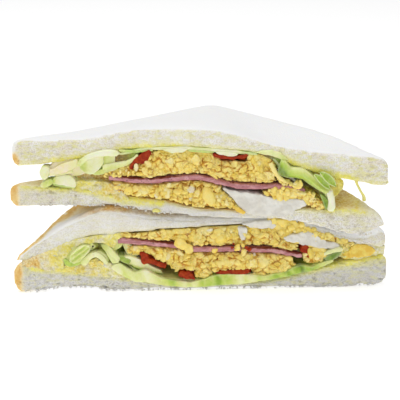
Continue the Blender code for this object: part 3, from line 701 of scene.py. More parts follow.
def bread_finish(crumb, crust):
    """Soft white crumb with cream flecks, dressing soaked in at the fillings, golden crust, and
    painted shade in its pores, holes, slots and shaded parts.
    """
    finish = Finish("white_bread")
    cut, hole, soaked, baked = (finish.mark(name) for name in ("cut", "hole", "soaked", "baked"))
    toast, grey, flecked = (finish.mark(name) for name in ("toast", "grey", "flecked"))
    flecks = finish.noise(1.5, 0.6, spot=finish.stretched(1.9, 1.0, 0.8))
    fine = finish.noise(0.5, 0.7)
    clouds = finish.noise(7.0)
    mottle = finish.noise(1.0, 0.65)
    base = finish.mix(cut * (0.3 + 0.7 * clouds.over(0.35, 0.65)), crumb, colour(240, 234, 220))
    # Painted shade: grey over the crumb where it lies in shade, strongest on the lower half
    base = finish.mix(grey * (0.5 + 0.5 * flecks), base, colour(214, 213, 212))
    # Painted shade: a darker speckle of fine pores on the cut, greyer where the crumb lies in shade
    pore_shade = finish.mix(grey, colour(208, 197, 172), colour(190, 188, 188))
    base = finish.mix(cut * fine.over(0.46, 0.64) * 0.8, base, pore_shade)
    buttered = cut * flecked * flecks.over(0.42, 0.66) * (0.5 + 0.5 * fine)
    base = finish.mix(buttered, base, colour(230, 226, 150))
    # Painted shade: darker grey-brown over the torn strip that lies under the upper half
    strip_shade = ((grey - 0.95) * 1.8).limited() * (0.4 + 0.6 * flecks)
    base = finish.mix(strip_shade, base, colour(172, 163, 144))
    # Painted shade in the open holes of the crumb
    shade = finish.mix(grey, colour(204, 192, 162), colour(166, 163, 158))
    base = finish.mix((hole * 0.9).limited(), base, shade)
    stain = finish.mix(clouds.over(0.4, 0.62), colour(246, 238, 124), colour(230, 222, 108))
    base = finish.mix((soaked * (1.9 * mottle)).limited(), base, stain)
    # Golden-brown: browning, and painted shade where tops lie in the slots and recesses between
    # slices and leaves
    browning_and_shade = finish.mix(mottle.over(0.36, 0.62), colour(250, 218, 134), colour(220, 164, 78))
    base = finish.mix((toast * (0.4 + 1.2 * mottle)).limited(), base, browning_and_shade)
    # Painted shade: darkest brown in the deepest holes of the torn strip
    base = finish.mix((hole - 1.0).limited() * 0.85, base, colour(124, 102, 66))
    golden = finish.mix(finish.noise(2.6).over(0.35, 0.68), crust, colour(228, 182, 102))
    worn_crust = (baked * (0.55 + 0.9 * mottle)).limited()
    pale_crust = finish.mix(worn_crust.over(0.2, 0.75), colour(248, 232, 182), golden)
    base = finish.mix(worn_crust.over(0.0, 0.6), base, pale_crust)
    height = fine * 0.7 + flecks * 0.5 - finish.cells(1.0).over(0.5, 0.0) * 0.6
    finish.bump(height * (0.3 + 0.7 * cut), 0.6, 0.6)
    finish.glow(0.2, 1.2, 1.0, 0.85, 0.6)
    return finish.set(Base_Color=base, Roughness=0.92 - baked * 0.25, Specular_IOR_Level=0.2)


def egg_finish(mash, crevice_shade_tone):
    """Moist mashed yolk and white: pale faces, with golden-orange painted shade in the cracks and
    hollows.
    """
    finish = Finish("mashed_egg")
    deep, tone, white = (finish.mark(name) for name in ("deep", "tone", "white"))
    patches = finish.noise(2.4)
    fine = finish.noise(0.5, 0.65)
    creamy = (tone * 0.6 + patches.over(0.3, 0.7) * 0.6 - 0.1).limited()
    base = finish.mix(creamy, mash, colour(252, 234, 150))
    base = finish.mix(tone.over(0.7, 1.0) * 0.6, base, colour(254, 242, 186))
    base = finish.mix(white, base, colour(244, 238, 218))
    base = finish.mix(fine.over(0.56, 0.74) * 0.25, base, colour(238, 198, 92))
    # Painted shade: golden-orange in the cracks, in the hollows and behind the front
    dark = finish.mix(patches.over(0.4, 0.6), crevice_shade_tone, colour(206, 126, 34))
    crack_shade = (deep + fine * 0.5 - 0.4).over(0.1, 1.0) * (0.8 - white * 0.4)
    base = finish.mix(crack_shade, base, dark)
    finish.bump(fine * 0.6 + finish.noise(1.1) * 0.8, 0.4, 0.65)
    finish.glow(0.15, 1.0, 1.0, 0.7, 0.25)
    return finish.set(Base_Color=base, Roughness=0.5 + fine * 0.25, Specular_IOR_Level=0.35)


def ham_finish(meat):
    """Pink cured meat, streaked and moist, with pepper and a dark red-brown edge that is partly
    browning and partly painted shade.
    """
    finish = Finish("cured_ham")
    edge, pepper = finish.mark("edge"), finish.mark("pepper")
    streaks = finish.noise(1.5, 0.6, 4.0, finish.stretched(2.6, 1.6, 0.7), 0.4)
    mottle = finish.noise(4.5, detail=2.0)
    fine = finish.noise(0.45, detail=2.0)
    base = finish.mix(streaks.over(0.35, 0.68), colour(178, 112, 118), meat)
    base = finish.mix(mottle.over(0.5, 0.72) * 0.5, base, colour(226, 180, 184))
    base = finish.mix(finish.cells(1.3).over(0.24, 0.12) * pepper, base, colour(74, 34, 34))
    # Dark red-brown edge: browning and painted shade where fillings and bread press on the ham
    base = finish.mix((edge + (fine - 0.5) * 0.9).over(0.35, 0.7), base, colour(120, 42, 28))
    finish.bump(streaks * 0.9 + fine * 0.6, 0.45, 0.7)
    finish.glow(0.12, 1.0, 1.0, 0.4, 0.35)
    finish.coat(0.2, 0.3)
    return finish.set(Base_Color=base, Roughness=0.46 + streaks * 0.2, Specular_IOR_Level=0.4)


def tomato_finish(flesh):
    """Wet tomato flesh in uneven red-orange patches with paler spots."""
    finish = Finish("wet_tomato")
    patches = finish.noise(1.6, 0.6)
    base = finish.mix(patches.over(0.35, 0.7), flesh, colour(176, 66, 22))
    pale = finish.noise(0.7, detail=2.0).over(0.62, 0.78)
    base = finish.mix(pale * 0.4, base, colour(190, 88, 40))
    finish.bump(patches, 0.25, 0.5)
    finish.coat(0.05, 0.2)
    return finish.set(Base_Color=base, Roughness=0.45 + patches * 0.2, Specular_IOR_Level=0.15)


def white_finish():
    """Firm smooth boiled egg white."""
    finish = Finish("firm_egg_white")
    clouds = finish.noise(5.0)
    base = finish.mix(clouds.over(0.35, 0.7), colour(232, 230, 222), colour(216, 212, 202))
    base = finish.mix(finish.noise(1.4).over(0.6, 0.8) * 0.3, base, colour(238, 226, 184))
    finish.bump(finish.noise(0.8), 0.12, 0.5)
    finish.glow(0.2, 1.2, 1.0, 0.9, 0.75)
    return finish.set(Base_Color=base, Roughness=0.5 + clouds * 0.1, Specular_IOR_Level=0.35)


def leaf_finish(vivid, pale):
    """Lettuce: green blade, white-green ribs and cut edges, fine branching veins, cream dressing,
    olive-brown painted shade in hollows.
    """
    finish = Finish("lettuce")
    green, rim, olive, cream, at_u, at_v = (
        finish.mark(name) for name in ("green", "rim", "olive", "cream", "leaf_u", "leaf_v"))
    flat = finish.node("ShaderNodeCombineXYZ", {}, {"X": at_u * 0.18, "Y": at_v * 0.11, "Z": 0.0})
    veins = finish.node("ShaderNodeTexVoronoi", {"feature": "DISTANCE_TO_EDGE"},
                        {"Vector": flat, "Scale": 1.0}, "Distance").over(0.1, 0.0)
    patches = finish.noise(4.0)
    fine = finish.noise(0.8)
    share = (green + (patches - 0.5) * 0.45 + (fine - 0.5) * 0.2).limited()
    base = finish.node("ShaderNodeValToRGB", {"stops": (
        (0.0, colour(242, 242, 216)), (0.25, pale), (0.5, colour(214, 222, 122)), (0.72, vivid),
        (0.88, colour(146, 178, 46)), (1.0, colour(108, 138, 32)))}, {"Fac": share}, "Color")
    base = finish.mix(veins * 0.12, base, colour(240, 242, 204))
    base = finish.mix(rim * 0.55, base, colour(240, 242, 200))
    dressed = finish.mix(patches.over(0.4, 0.6), colour(246, 232, 204), colour(242, 230, 172))
    base = finish.mix(cream, base, dressed)
    # Painted shade: olive-brown in hollows and under folds of the leaves
    hollow_shade_tone = finish.mix(fine.over(0.4, 0.6), colour(150, 118, 46), colour(112, 78, 32))
    base = finish.mix(olive, base, hollow_shade_tone)
    finish.bump(fine * 0.4 + patches * 0.5 - veins * 0.4, 0.3, 0.5)
    finish.glow(0.2, 1.0, 0.6, 1.0, 0.25)
    finish.coat(0.1, 0.2)
    return finish.set(Base_Color=base, Roughness=0.4 + fine * 0.16, Specular_IOR_Level=0.45)


def spread_finish(dressing):
    """Smooth yolk and dressing."""
    finish = Finish("egg_dressing")
    patches, pale = finish.noise(2.5), finish.mark("pale")
    base = finish.mix(patches.over(0.35, 0.7), dressing, colour(246, 222, 112))
    base = finish.mix(pale, base, finish.mix(patches, colour(236, 230, 150), colour(226, 216, 112)))
    finish.bump(finish.noise(1.0), 0.2, 0.5)
    finish.glow(0.2, 1.0, 1.0, 0.75, 0.25)
    finish.coat(0.1, 0.25)
    return finish.set(Base_Color=base, Roughness=0.4 + patches * 0.15, Specular_IOR_Level=0.4)


# ---------------------------------------------------------------- what a user would change

class BreadSettings(bpy.types.PropertyGroup):
    hole_depth: FloatProperty(
        name="Hole depth", description="Depth of the largest holes in the cut crumb",
        default=0.0014, unit="LENGTH")
    crust_width: FloatProperty(
        name="Crust width", description="How far the baked colour reaches in from the crust sides",
        default=0.0044, unit="LENGTH")
    crumb: FloatVectorProperty(
        name="Crumb", description="Colour of the soft crumb",
        default=colour(249, 249, 248), size=4, subtype="COLOR")
    crust: FloatVectorProperty(
        name="Crust", description="Colour of the baked crust",
        default=colour(243, 211, 142), size=4, subtype="COLOR")


class EggSettings(bpy.types.PropertyGroup):
    largest: FloatProperty(
        name="Largest curd", description="Radius of the largest ordinary curd",
        default=0.0021, unit="LENGTH")
    smallest: FloatProperty(
        name="Smallest curd", description="Radius of the smallest curd",
        default=0.0007, unit="LENGTH")
    crowding: FloatProperty(
        name="Crowding", description="Separate curds for each square millimetre of the front",
        default=0.12, subtype="FACTOR", min=0.05, max=1.0)
    chunk: FloatProperty(
        name="Chunk size", description="Width of the chunks that the mash breaks into",
        default=0.0033, unit="LENGTH")
    mash: FloatVectorProperty(
        name="Mash", description="Colour of the golden mash",
        default=colour(248, 218, 100), size=4, subtype="COLOR")
    # Painted shade: the colour put into the cracks and hollows between chunks
    crevice_shade_tone: FloatVectorProperty(
        name="Crevice", description="Colour of the gaps between chunks",
        default=colour(234, 176, 62), size=4, subtype="COLOR")
    seed: IntProperty(name="Seed", description="Changes where every curd lies", default=7)


class FillingSettings(bpy.types.PropertyGroup):
    meat: FloatVectorProperty(
        name="Ham", description="Colour of the cured meat",
        default=colour(214, 158, 162), size=4, subtype="COLOR")
    flesh: FloatVectorProperty(
        name="Tomato", description="Colour of the tomato flesh",
        default=colour(146, 38, 8), size=4, subtype="COLOR")
    dressing: FloatVectorProperty(
        name="Dressing", description="Colour of the yolk and dressing",
        default=colour(234, 194, 70), size=4, subtype="COLOR")


class LeafSettings(bpy.types.PropertyGroup):
    vivid: FloatVectorProperty(
        name="Vivid green", description="Colour of the leaf blade",
        default=colour(184, 208, 82), size=4, subtype="COLOR")
    pale: FloatVectorProperty(
        name="Pale green", description="Colour near the ribs",
        default=colour(234, 236, 174), size=4, subtype="COLOR")


class StageSettings(bpy.types.PropertyGroup):
    elevation: FloatProperty(
        name="Elevation", description="How far above level the camera looks from",
        default=math.radians(17), subtype="ANGLE")
    distance: FloatProperty(
        name="Distance", description="From the camera to the middle of the upper cut face",
        default=0.65, unit="LENGTH")
    lens: FloatProperty(
        name="Lens", description="Focal length on a 36 mm sensor", default=140.81, unit="CAMERA")
    key: FloatProperty(
        name="Key light", description="Strength of the large soft light overhead",
        default=6.5, unit="POWER")
    sky: FloatProperty(
        name="Room light", description="Strength of the even light all round", default=0.42)


SETTINGS = {"sandwich_bread": BreadSettings, "sandwich_egg": EggSettings,
            "sandwich_fillings": FillingSettings, "sandwich_leaf": LeafSettings,
            "sandwich_stage": StageSettings}


# ---------------------------------------------------------------- bread

# How each slice looks. A value is one number, or follows (u, value) points along the cut.
# faces: its lower and upper face. round: radius of the upper cut edge (mm), corner: how much of it
# is left at the right end. ragged: broken crumbs under the lower edge (mm). rough: how torn the
# crumb is, grey: painted shade that greys the crumb, strongest on the lower half, flecked:
# how strongly its yellow-cream flecks show. soaked_top, soaked_under: dressing in it above and
# below. strokes: stains on the cut, as (u, z, u, z, width, strength). toast: golden-brown
# on the top near the cut, partly browning and partly painted shade where the top lies in the slot
# between the slices, scorch: the same on its torn strip, worn: how torn that
# strip behind the upper cut edge is, and how darkly it is painted as shade under the upper half.
# baked, skin: strength of the crust at the left and right ends and on the skin there, width: how
# wide it is, pale_rim: how pale its upper part is at the left. reach: how far the left and right
# ends are drawn out, square: how far the crust's rounding is filled out above and below. lift,
# sole and crown raise the lower face, the lower cut edge and the upper face (mm)
SLICES = {
    "lower_bottom_slice": {
        "faces": ("base_under", "base_top"), "round": 0.6, "ragged": 1.6, "grey": 0.9,
        "flecked": 0.6,
        "rough": ((-78, 0.9), (-50, 1), (-20, 0.9), (10, 0.8), (40, 1), (78, 0.9)),
        "soaked_top": ((-78, 0.4), (-66, 0.7), (-40, 0.8), (-20, 0.7), (30, 0.5), (55, 0.9),
          (70, 0.9), (78, 0.5)), "toast": ((-78, 0.9), (-68, 0.6), (-58, 0.2), (78, 0.05)),
        "strokes": ((-70, 11, -64, 10, 1.3, 0.5), (-62, 9.6, -42, 9, 1.5, 0.45),
          (54, 11.6, 76, 14, 1.3, 0.4)), "baked": (0.8, 0.05), "skin": (0.3, 0.3),
        "reach": (0.9, 1.6), "square": (0, 0),
        "width": ((-80, 1.3), (-72, 1.1), (-60, 0.6), (0, 0.4), (78, 0.4)),
        "sole": ((-78, 0), (-71, 0.1), (-66, 0.8), (-60, 1.7), (-50, 1.9), (-44, 1.6), (-41, 0.4),
          (-36, 0), (60, 0), (70, 0.5), (78, 0.3))},
    "lower_top_slice": {
        "faces": ("lid_under", "lid_top"), "ragged": 0.5,
        "round": ((-78, 5.5), (-62, 8), (-30, 8.5), (-5, 7), (20, 5.5), (78, 5.5)),
        "grey": ((-78, 0.3), (30, 0.3), (46, 0)), "flecked": 0.5,
        "rough": ((-78, 0.8), (-64, 0.6), (-55, 0.3), (-40, 0.2), (0, 0.15), (40, 0.15),
          (60, 0.3), (78, 0.5)),
        "soaked_under": ((-78, 0.2), (-50, 0.25), (-30, 0.2), (40, 0.2), (60, 0.3), (78, 0.1)),
        "baked": (0.85, 0.05), "skin": (0.95, 0.2), "reach": (0, 0.9), "square": (0, 0),
        "width": ((-80, 0.45), (-62, 0.4), (-52, 0.6), (-44, 1.5), (-20, 1.8), (0, 0.8),
          (20, 0.3), (78, 0.3)),
        "worn": ((-56, 0), (-50, 0.4), (-45, 1), (-20, 1), (-2, 0.9), (12, 0.5), (24, 0)),
        "scorch": ((-54, 0.1), (-47, 1), (-38, 1), (-28, 0.6), (-10, 0.3), (12, 0.15), (24, 0)),
        "lift": ((8, 0), (18, 0.5), (26, 2), (32, 2.6), (37, 1.9), (44, 1.4), (58, 1.6),
          (66, 1.4), (78, 1))},
    "upper_bottom_slice": {
        "faces": ("base_under", "base_top"), "round": 1, "ragged": 0.8, "flecked": 0.5,
        "grey": ((-50, 0.25), (-22, 0.8), (20, 0.8), (40, 0.25)),
        "rough": ((-78, 0.6), (-60, 0.8), (-40, 0.7), (-22, 0.3), (-5, 0.1), (18, 0.15),
          (30, 0.7), (50, 0.9), (70, 0.8), (78, 0.5)),
        "soaked_top": ((-78, 0.3), (-50, 0.5), (-40, 0.7), (-20, 0.8), (-12, 0.4), (10, 0.2),
          (30, 0.3), (50, 0.7), (66, 0.6), (78, 0.2)),
        "toast": ((-78, 0.2), (-66, 0.35), (-54, 0.45), (-46, 0.9), (30, 0.9), (46, 0.6),
          (54, 0.55), (62, 0.5), (68, 0.2), (78, 0)),
        "crown": ((52, 0), (60, 1.3), (68, 1.8), (74, 1.2), (78, 0.2)),
        "strokes": ((-50, 43.4, -41, 41.8, 1.5, 0.7), (-41, 41.4, -28, 38.4, 2, 0.8),
          (-28, 38.2, -17, 37.8, 1.3, 0.8), (-72, 44.6, -56, 43.2, 1.2, 0.5),
          (54, 37.2, 62, 37.4, 1.6, 1), (62, 37.2, 69, 35.2, 1.4, 0.9),
          (-19.6, 34.6, -17.8, 34.6, 0.9, 0.6)), "baked": (0.85, 0), "skin": (0.3, 0.1),
        "reach": (2.6, -2.2), "square": (0.3, 0.2),
        "width": ((-80, 1.25), (-70, 1), (-60, 0.6), (0, 0.4), (78, 0.4))},
    "upper_top_slice": {
        "faces": ("lid_under", "lid_top"), "round": 1.4, "ragged": 0.4, "flecked": 1,
        "rough": ((-78, 0.7), (-55, 0.7), (-30, 0.4), (10, 0.35), (40, 0.55), (78, 0.6)),
        "soaked_under": ((-78, 0.4), (-50, 0.7), (0, 0.6), (30, 0.7), (60, 0.7), (78, 0.3)),
        "strokes": ((-60, 55.6, -46, 57.8, 1.4, 0.45), (-34, 61.8, -10, 62.8, 1.6, 0.35),
          (32, 59, 46, 53.6, 1.4, 0.5), (46, 53.2, 64, 49.6, 1.2, 0.5)), "baked": (0.8, 0),
        "skin": (0.1, 0.9), "reach": (1.2, -1.2), "square": (0.6, 0.5), "corner": 0.25,
        "pale_rim": 0.85, "crown": ((-78, 1.1), (-70, 0.9), (-60, 0.4), (-48, 0)),
        "width": ((-80, 1), (-72, 0.8), (-60, 0.5), (0, 0.4), (78, 0.4))},
}


def rounded_edge(points, top, reach, share):
    """Roll the upper cut edge over to a radius."""
    v, fall = points[:, 1], top - points[:, 2]
    near = (v < reach) & (fall < reach)
    a, b = reach - np.clip(v, 0, reach), reach - np.clip(fall, 0, reach)
    length = np.maximum(np.hypot(a, b), 1e-6)
    scale = np.maximum(a, b) / length
    points = points.copy()
    points[:, 1] = np.where(near, v + share * ((reach - a * scale) - v), v)
    points[:, 2] = np.where(near, top - (fall + share * ((reach - b * scale) - fall)), points[:, 2])
    return points


def crumb_relief(points, rough, deepest, seed):
    """How far torn crumb lies behind an even cut, in millimetres, and how open its holes are."""
    spots = points * np.array((1.0, 0.8, 1.35))
    bent = spots + 0.5 * np.stack([swell(spots, 1.1, seed + 7 + axis) for axis in range(3)], axis=1)
    wide = pits(bent, 3.1, 0.2, seed + 1)
    middling = pits(bent, 1.9, 0.5, seed + 2)
    small = pits(bent, 1.05, 0.7, seed + 3)
    open_crumb = 0.8 * wide + 0.5 * middling + 0.45 * small
    torn = 0.35 * grain(spots, 0.9, seed + 4) + 0.25 * grain(spots, 4.0, seed + 5)
    relief = rough * (deepest * open_crumb + torn) + 0.08 * grain(spots, 2.0, seed + 6)
    return relief, np.clip(open_crumb, 0, 1)


def filled_out(points, share, amounts):
    """Push the upper and lower rims of the crust out where it rounds off."""
    u, v = points[:, 0], np.maximum(points[:, 1], 0.0)
    distance = crust_distance(u, v)
    step = 0.05
    out = np.stack((distance - crust_distance(u + step, v),
                    distance - crust_distance(u, v + step)), axis=1) / step
    near = np.clip(1 - np.maximum(distance, 0.0) / 6.0, 0, 1)
    above, below = amounts
    amount = 2.2 * np.abs(2 * share - 1) ** 6 * near * np.where(share > 0.5, above, below)
    points = points.copy()
    points[:, :2] += out * amount[:, None]
    points[:, 1] = np.where(v < 0.3, v, points[:, 1])
    return points


def stroke_mask(u, z, strokes):
    """How strongly stains along strokes, as (u, z, u, z, width, strength), show on the cut."""
    total = np.zeros(len(u))
    for u0, z0, u1, z1, width, strength in strokes:
        du, dz = u1 - u0, z1 - z0
        share = np.clip(((u - u0) * du + (z - z0) * dz) / (du ** 2 + dz ** 2), 0, 1)
        off = np.hypot(u - u0 - share * du, z - z0 - share * dz)
        total = np.maximum(total, strength * (1 - ramp(off, 0.0, 2.0 * width)))
    return total


def slice_piece(name, settings, finish, number):
    """One bread slice: torn open crumb at the cut, soft skin elsewhere, crust at the sides."""
    look = SLICES[name]
    room = ROOMS[half_of(name)]
    voxel, fine_to = 1.25, 0.9
    points, faces = fine_net(name, voxel, fine_to, cuts=2)
    points = relax(points, faces, np.where(points[:, 1:2] < fine_to, 0.0, 0.5), 3)
    u, v, z = points.T.copy()
    low, high = (room.height(face, u, np.maximum(v, 0.0)) for face in look["faces"])
    share = np.clip((z - low) / np.maximum(high - low, 0.5), 0, 1)
    cut = 1 - ramp(v, 0.3, 1.1)

    def told(value):
        """What the look says of a value, at each point's place along the cut."""
        return along(look.get(value, 0.0), u)

    # The slice's own form
    left, right = look["reach"]
    crown, front = told("crown"), 1 - ramp(v, 10.0, 25.0)
    points = filled_out(points, share, look["square"])
    points[:, 0] += np.where(u < 0, -left, right) * ramp(np.abs(u), 48, 78)
    points[:, 2] += told("lift") * (1 - share) * (1 - ramp(v, 8.0, 26.0))
    points[:, 2] += crown * share * front
    kept = along(((-78, 1.0), (-45, 1.0), (0, 0.9), (50, 0.9), (72, look.get("corner", 0.9))), u)
    points = rounded_edge(points, high + crown * front, told("round"), kept)

    # Torn crumb on the cut, broken crumbs under its lower edge
    rough = told("rough") * (0.8 + 0.6 * grain(points, 9.0, number))
    relief, holes = crumb_relief(points, rough, settings.hole_depth / MM, number * 10)
    points[:, 1] += cut * relief
    spots = np.stack((u, v, z), axis=1)
    ragged = look["ragged"] * (1 - ramp(v, 0.5, 2.5)) * ramp(0.4 - share, 0.0, 0.4)
    points[:, 2] += ragged * np.maximum(
        0.8 * grain(spots, 2.4, number + 33) + 0.6 * swell(spots, 6.0, number) + 0.1, 0)
    points[:, 2] += told("sole") * (1 - share) ** 2 * (1 - ramp(v, 4.0, 12.0))

    # Skin, with a torn strip behind the upper cut edge, which is also painted darker as shade under
    # the upper half
    worn = (told("worn") * ramp(v, 0.4, 3.2) * (1 - ramp(v, 16.0, 26.0))
            * ramp(share, 0.62, 0.95) * np.clip(0.8 + 0.7 * grain(spots, 4.0, number + 40), 0, 1))
    skin = (0.12 * grain(points, 7.0, number + 34) + 0.05 * grain(points, 1.6, number + 35)
            - worn * (0.6 * holes + 0.3 * grain(points, 1.3, number + 39)))
    points = points + pointing(points, faces) * (skin * (1 - cut))[:, None]
    points[:, 2] = np.maximum(points[:, 2], 0.0)

    # Crust, baked in from the sides
    crust = crust_distance(u, np.maximum(v, 0.0))
    on_skin = ramp(np.abs(share - 0.5), 0.44, 0.5) * (1 - cut)
    width = settings.crust_width / MM * (1 + 0.35 * grain(spots, 5.0, number + 36))
    width = width * told("width") * (1 + 2.2 * on_skin * (u < 0))
    baked = 1 - ramp(crust, 0.2 * width, 1.2 * width)
    left, right = look["baked"]
    strength = along(((-80, left), (-60, left), (-10, 0.7), (10, 0.85), (45, 0.8), (64, 0.45),
                      (75, right)), u)
    strength = strength * (1 - look.get("pale_rim", 0.0) * ramp(share, 0.3, 0.65) * (u < 0))
    shown = np.where(u < 0, *look["skin"])
    baked = baked * strength * (1 - (1 - shown) * on_skin)

    # Dressing soaked in at the fillings; golden-brown near the cut, partly browning and partly
    # painted shade where the top lies in the slot between the slices
    inward = v * (1 - 0.45 * ramp(u, 45.0, 55.0))
    wet = (told("soaked_top") * ramp(share, 0.6, 1.0)
           + told("soaked_under") * ramp(1 - share, 0.6, 1.0))
    wet = wet * (1 + 0.7 * grain(spots, 3.0, number + 37)) * (1 - 0.75 * ramp(inward, 6.0, 20.0))
    stains = stroke_mask(u, z, look.get("strokes", ()))
    wet = wet + cut * stains * (1 + 0.8 * grain(spots, 1.8, number + 38))
    toast = (told("toast") * ramp(share, 0.75, 1.0) * ramp(v, 0.5, 2.0)
             * (1 - ramp(inward, 10.0, 22.0)))
    # Golden-brown on the torn strip: browning and painted shade together
    scorch = told("scorch") * worn * ramp(v, 0.6, 4.5)
    # Painted shade greys the cut, and the lower half's skin a little too
    shade_share = cut + (1 - cut) * 0.2 * (room.half == "lower")
    piece = Piece(name + "_crumb")
    piece.add(points, faces, {
        "cut": np.maximum(cut * np.clip(rough + 0.4, 0, 1), worn),
        "hole": np.maximum(cut * np.clip(rough * 1.3, 0, 1), 2.2 * worn) * holes,
        "grey": np.maximum(told("grey") * shade_share, 1.35 * worn),
        "soaked": np.clip(wet, 0, 1), "toast": np.clip(toast + scorch, 0, 1),
        "baked": baked, "flecked": look["flecked"]})
    piece.place(finish, "bread", name)


# Torn crumb pressed into the corners, stained and golden-brown: (u, z) outlines between a front and
# a back depth, with the golden-brown (browning, and painted shade in the recesses) and the stain
# along u
PRESSED_CRUMB = {
    "lower": (
        {"outline": ((-74.9, 13.8), (-72.3, 14.8), (-70.2, 16), (-67.3, 17.3), (-63.1, 19),
           (-59.8, 20.6), (-56.4, 22), (-52.6, 23.2), (-48.5, 24), (-42.3, 24.8), (-37.3, 25.2),
           (-34, 25.6), (-33.2, 24.2), (-34.6, 22.4), (-35.8, 20.4), (-36.6, 19), (-38.6, 20.2),
           (-41, 21.4), (-43.6, 21.6), (-46.5, 21.4), (-49.6, 21.2), (-52.6, 20), (-54.8, 17.8),
           (-56.2, 15.4), (-57.6, 14.6), (-57.4, 10.2), (-60, 9.2), (-64, 9.8), (-68, 10.6),
           (-74.5, 11.8)), "front": -0.7, "back": 9,
         "toast": ((-75, 0.3), (-71, 0.55), (-66, 0.25), (-60, 0.1), (-56, 0.05), (-35, 0.05)),
         "soaked": ((-75, 0.3), (-68, 0.3), (-61, 0.65), (-54, 0.75), (-46, 0.75), (-35, 0.6))},
        {"outline": ((-58.5, 12), (-55, 11.8), (-51.5, 12.2), (-49.2, 13), (-47, 13.8), (-44, 15),
           (-41.8, 13), (-37.5, 12.6), (-34, 10.4), (-29, 7), (-34.5, 5.6), (-40, 6.4),
           (-46, 7.2), (-52, 8.2), (-58.5, 9.2)), "front": -0.6, "back": 8,
         "toast": ((-58, 0.1), (-48, 0.25), (-42, 0.1), (-38, 0)),
         "soaked": ((-58, 0.6), (-48, 0.7), (-40, 0.5), (-31, 0.4))},
        {"outline": ((57, 19.4), (60, 19.6), (64, 18.9), (68.5, 18.6), (73, 17.9), (77.6, 17.6),
           (77.4, 13.6), (73, 12.8), (67, 11.6), (61, 12), (57.6, 13.4)), "front": 0.5, "back": 9,
         "toast": ((57, 0.1), (78, 0)), "soaked": ((57, 0.7), (70, 0.45), (78, 0.2))}),
    "upper": (
        {"outline": ((-53.4, 46.2), (-50.4, 46.9), (-47.9, 46.8), (-45.4, 47.3), (-42.1, 46.8),
           (-39.6, 46.6), (-37.1, 45.8), (-35.5, 44.8), (-33.4, 43.2), (-31.8, 41.4), (-29.6, 39),
           (-34.7, 38.8), (-38.9, 39.8), (-44.3, 41.2), (-49.7, 42.2), (-54, 43)), "front": -0.5,
         "back": 6, "toast": ((-53, 0.05), (-44, 0.1), (-37, 0.45), (-33, 0.2)),
         "soaked": ((-53, 0.7), (-44, 0.8), (-30, 0.7))},
        {"outline": ((-60.5, 50.7), (-56.1, 53), (-51, 54.6), (-47.6, 52), (-44.5, 49.6),
           (-36, 49.4), (-34.1, 45.9), (-44.2, 44.8), (-54.6, 44.6), (-60.6, 46.3)), "front": 3.2,
         "back": 9, "toast": ((-60, 0.1), (-54, 0.3), (-47, 0.75), (-34, 1)),
         "soaked": ((-60, 0.8), (-50, 0.6), (-34, 0.4))},
        {"outline": ((44, 51.6), (48, 51.2), (52.7, 50), (56, 48.6), (58.6, 46.6), (58.4, 44.6),
           (56.2, 41.6), (54, 39.6), (51, 42.2), (47, 46.4), (43.6, 49)), "front": 3.8, "back": 9,
         "toast": ((44, 0.1), (52, 0.2), (58, 0.1)), "soaked": ((44, 1), (54, 1), (60, 0.9))}),
}


def pressed_crumb(half, settings, finish):
    """Crumb torn and pressed into the corners between lid and base."""
    piece = Piece(half + "_pressed_crumb")
    for number, look in enumerate(PRESSED_CRUMB[half]):
        points, faces, _ = patch_net(look["outline"], look["front"], look["back"], voxel=0.38,
                                     rounds=1)
        front = 1 - ramp(points[:, 1], look["front"] + 1.0, look["front"] + 3.5)
        relief, holes = crumb_relief(points, 1.0, settings.hole_depth / MM, 71 + number)
        points[:, 1] += front * (relief + 0.9 * grain(points, 2.2, 72 + number) + 0.2)
        uneven = 0.9 + 1.9 * grain(points, 2.4, 73 + number)
        toast, soaked = (np.clip(along(look[name], points[:, 0]) * uneven, 0, 1)
                         for name in ("toast", "soaked"))
        piece.add(points, faces, {"cut": 1.0, "hole": front * holes, "flecked": 0.8,
                                  "toast": toast, "soaked": soaked})
    piece.place(finish, "bread")


# Runs of torn crumbs on the lower cut edge of each half: from and to along u, and how many
TORN_CRUMBS = {"lower": ((-74, 74, 210),), "upper": ((-70, -10, 60), (52, 74, 22))}


def torn_crumbs(finish):
    """Torn crumbs that hang on the lower edges of the cut bread."""
    chance = np.random.default_rng(41)
    for half, runs in TORN_CRUMBS.items():
        look = SLICES[half + "_bottom_slice"]
        spots = []
        for start, end, count in runs:
            for u in chance.uniform(start, end, count):
                radius = 0.22 + 0.5 * chance.random() ** 2
                low = float(ROOMS[half].height("base_under", np.array([u]), np.zeros(1))[0])
                sole = float(along(look.get("sole", 0.0), u))
                v = chance.uniform(-0.5, 0.6)
                spots.append((u, v, low + sole + radius * chance.uniform(0.7, 1.8), radius))
        piece = Piece(half + "_torn_crumbs")
        for points, faces, _ in lump_nets(spots, rough=1.6, seed=5):
            points[:, 2] = np.maximum(points[:, 2], 0.0)
            # Torn crumbs take their slice's grey, which is painted shade, and a little painted
            # shade in holes
            piece.add(points, faces, {"cut": 0.8, "hole": 0.1,
                                      "grey": along(look["grey"], points[:, 0])})
        piece.place(finish, "bread")


class SANDWICH_OT_bread(bpy.types.Operator):
    """Make the four slices of bread with their torn cut faces and crust"""
    bl_idname = "sandwich.bread"
    bl_label = "Bread slices"

    def execute(self, context):
        settings = context.scene.sandwich_bread
        finish = bread_finish(settings.crumb, settings.crust)
        for number, name in enumerate(SLICES):
            slice_piece(name, settings, finish, number)
        for half in PRESSED_CRUMB:
            pressed_crumb(half, settings, finish)
        torn_crumbs(finish)
        return {"FINISHED"}


# ---------------------------------------------------------------- mashed egg

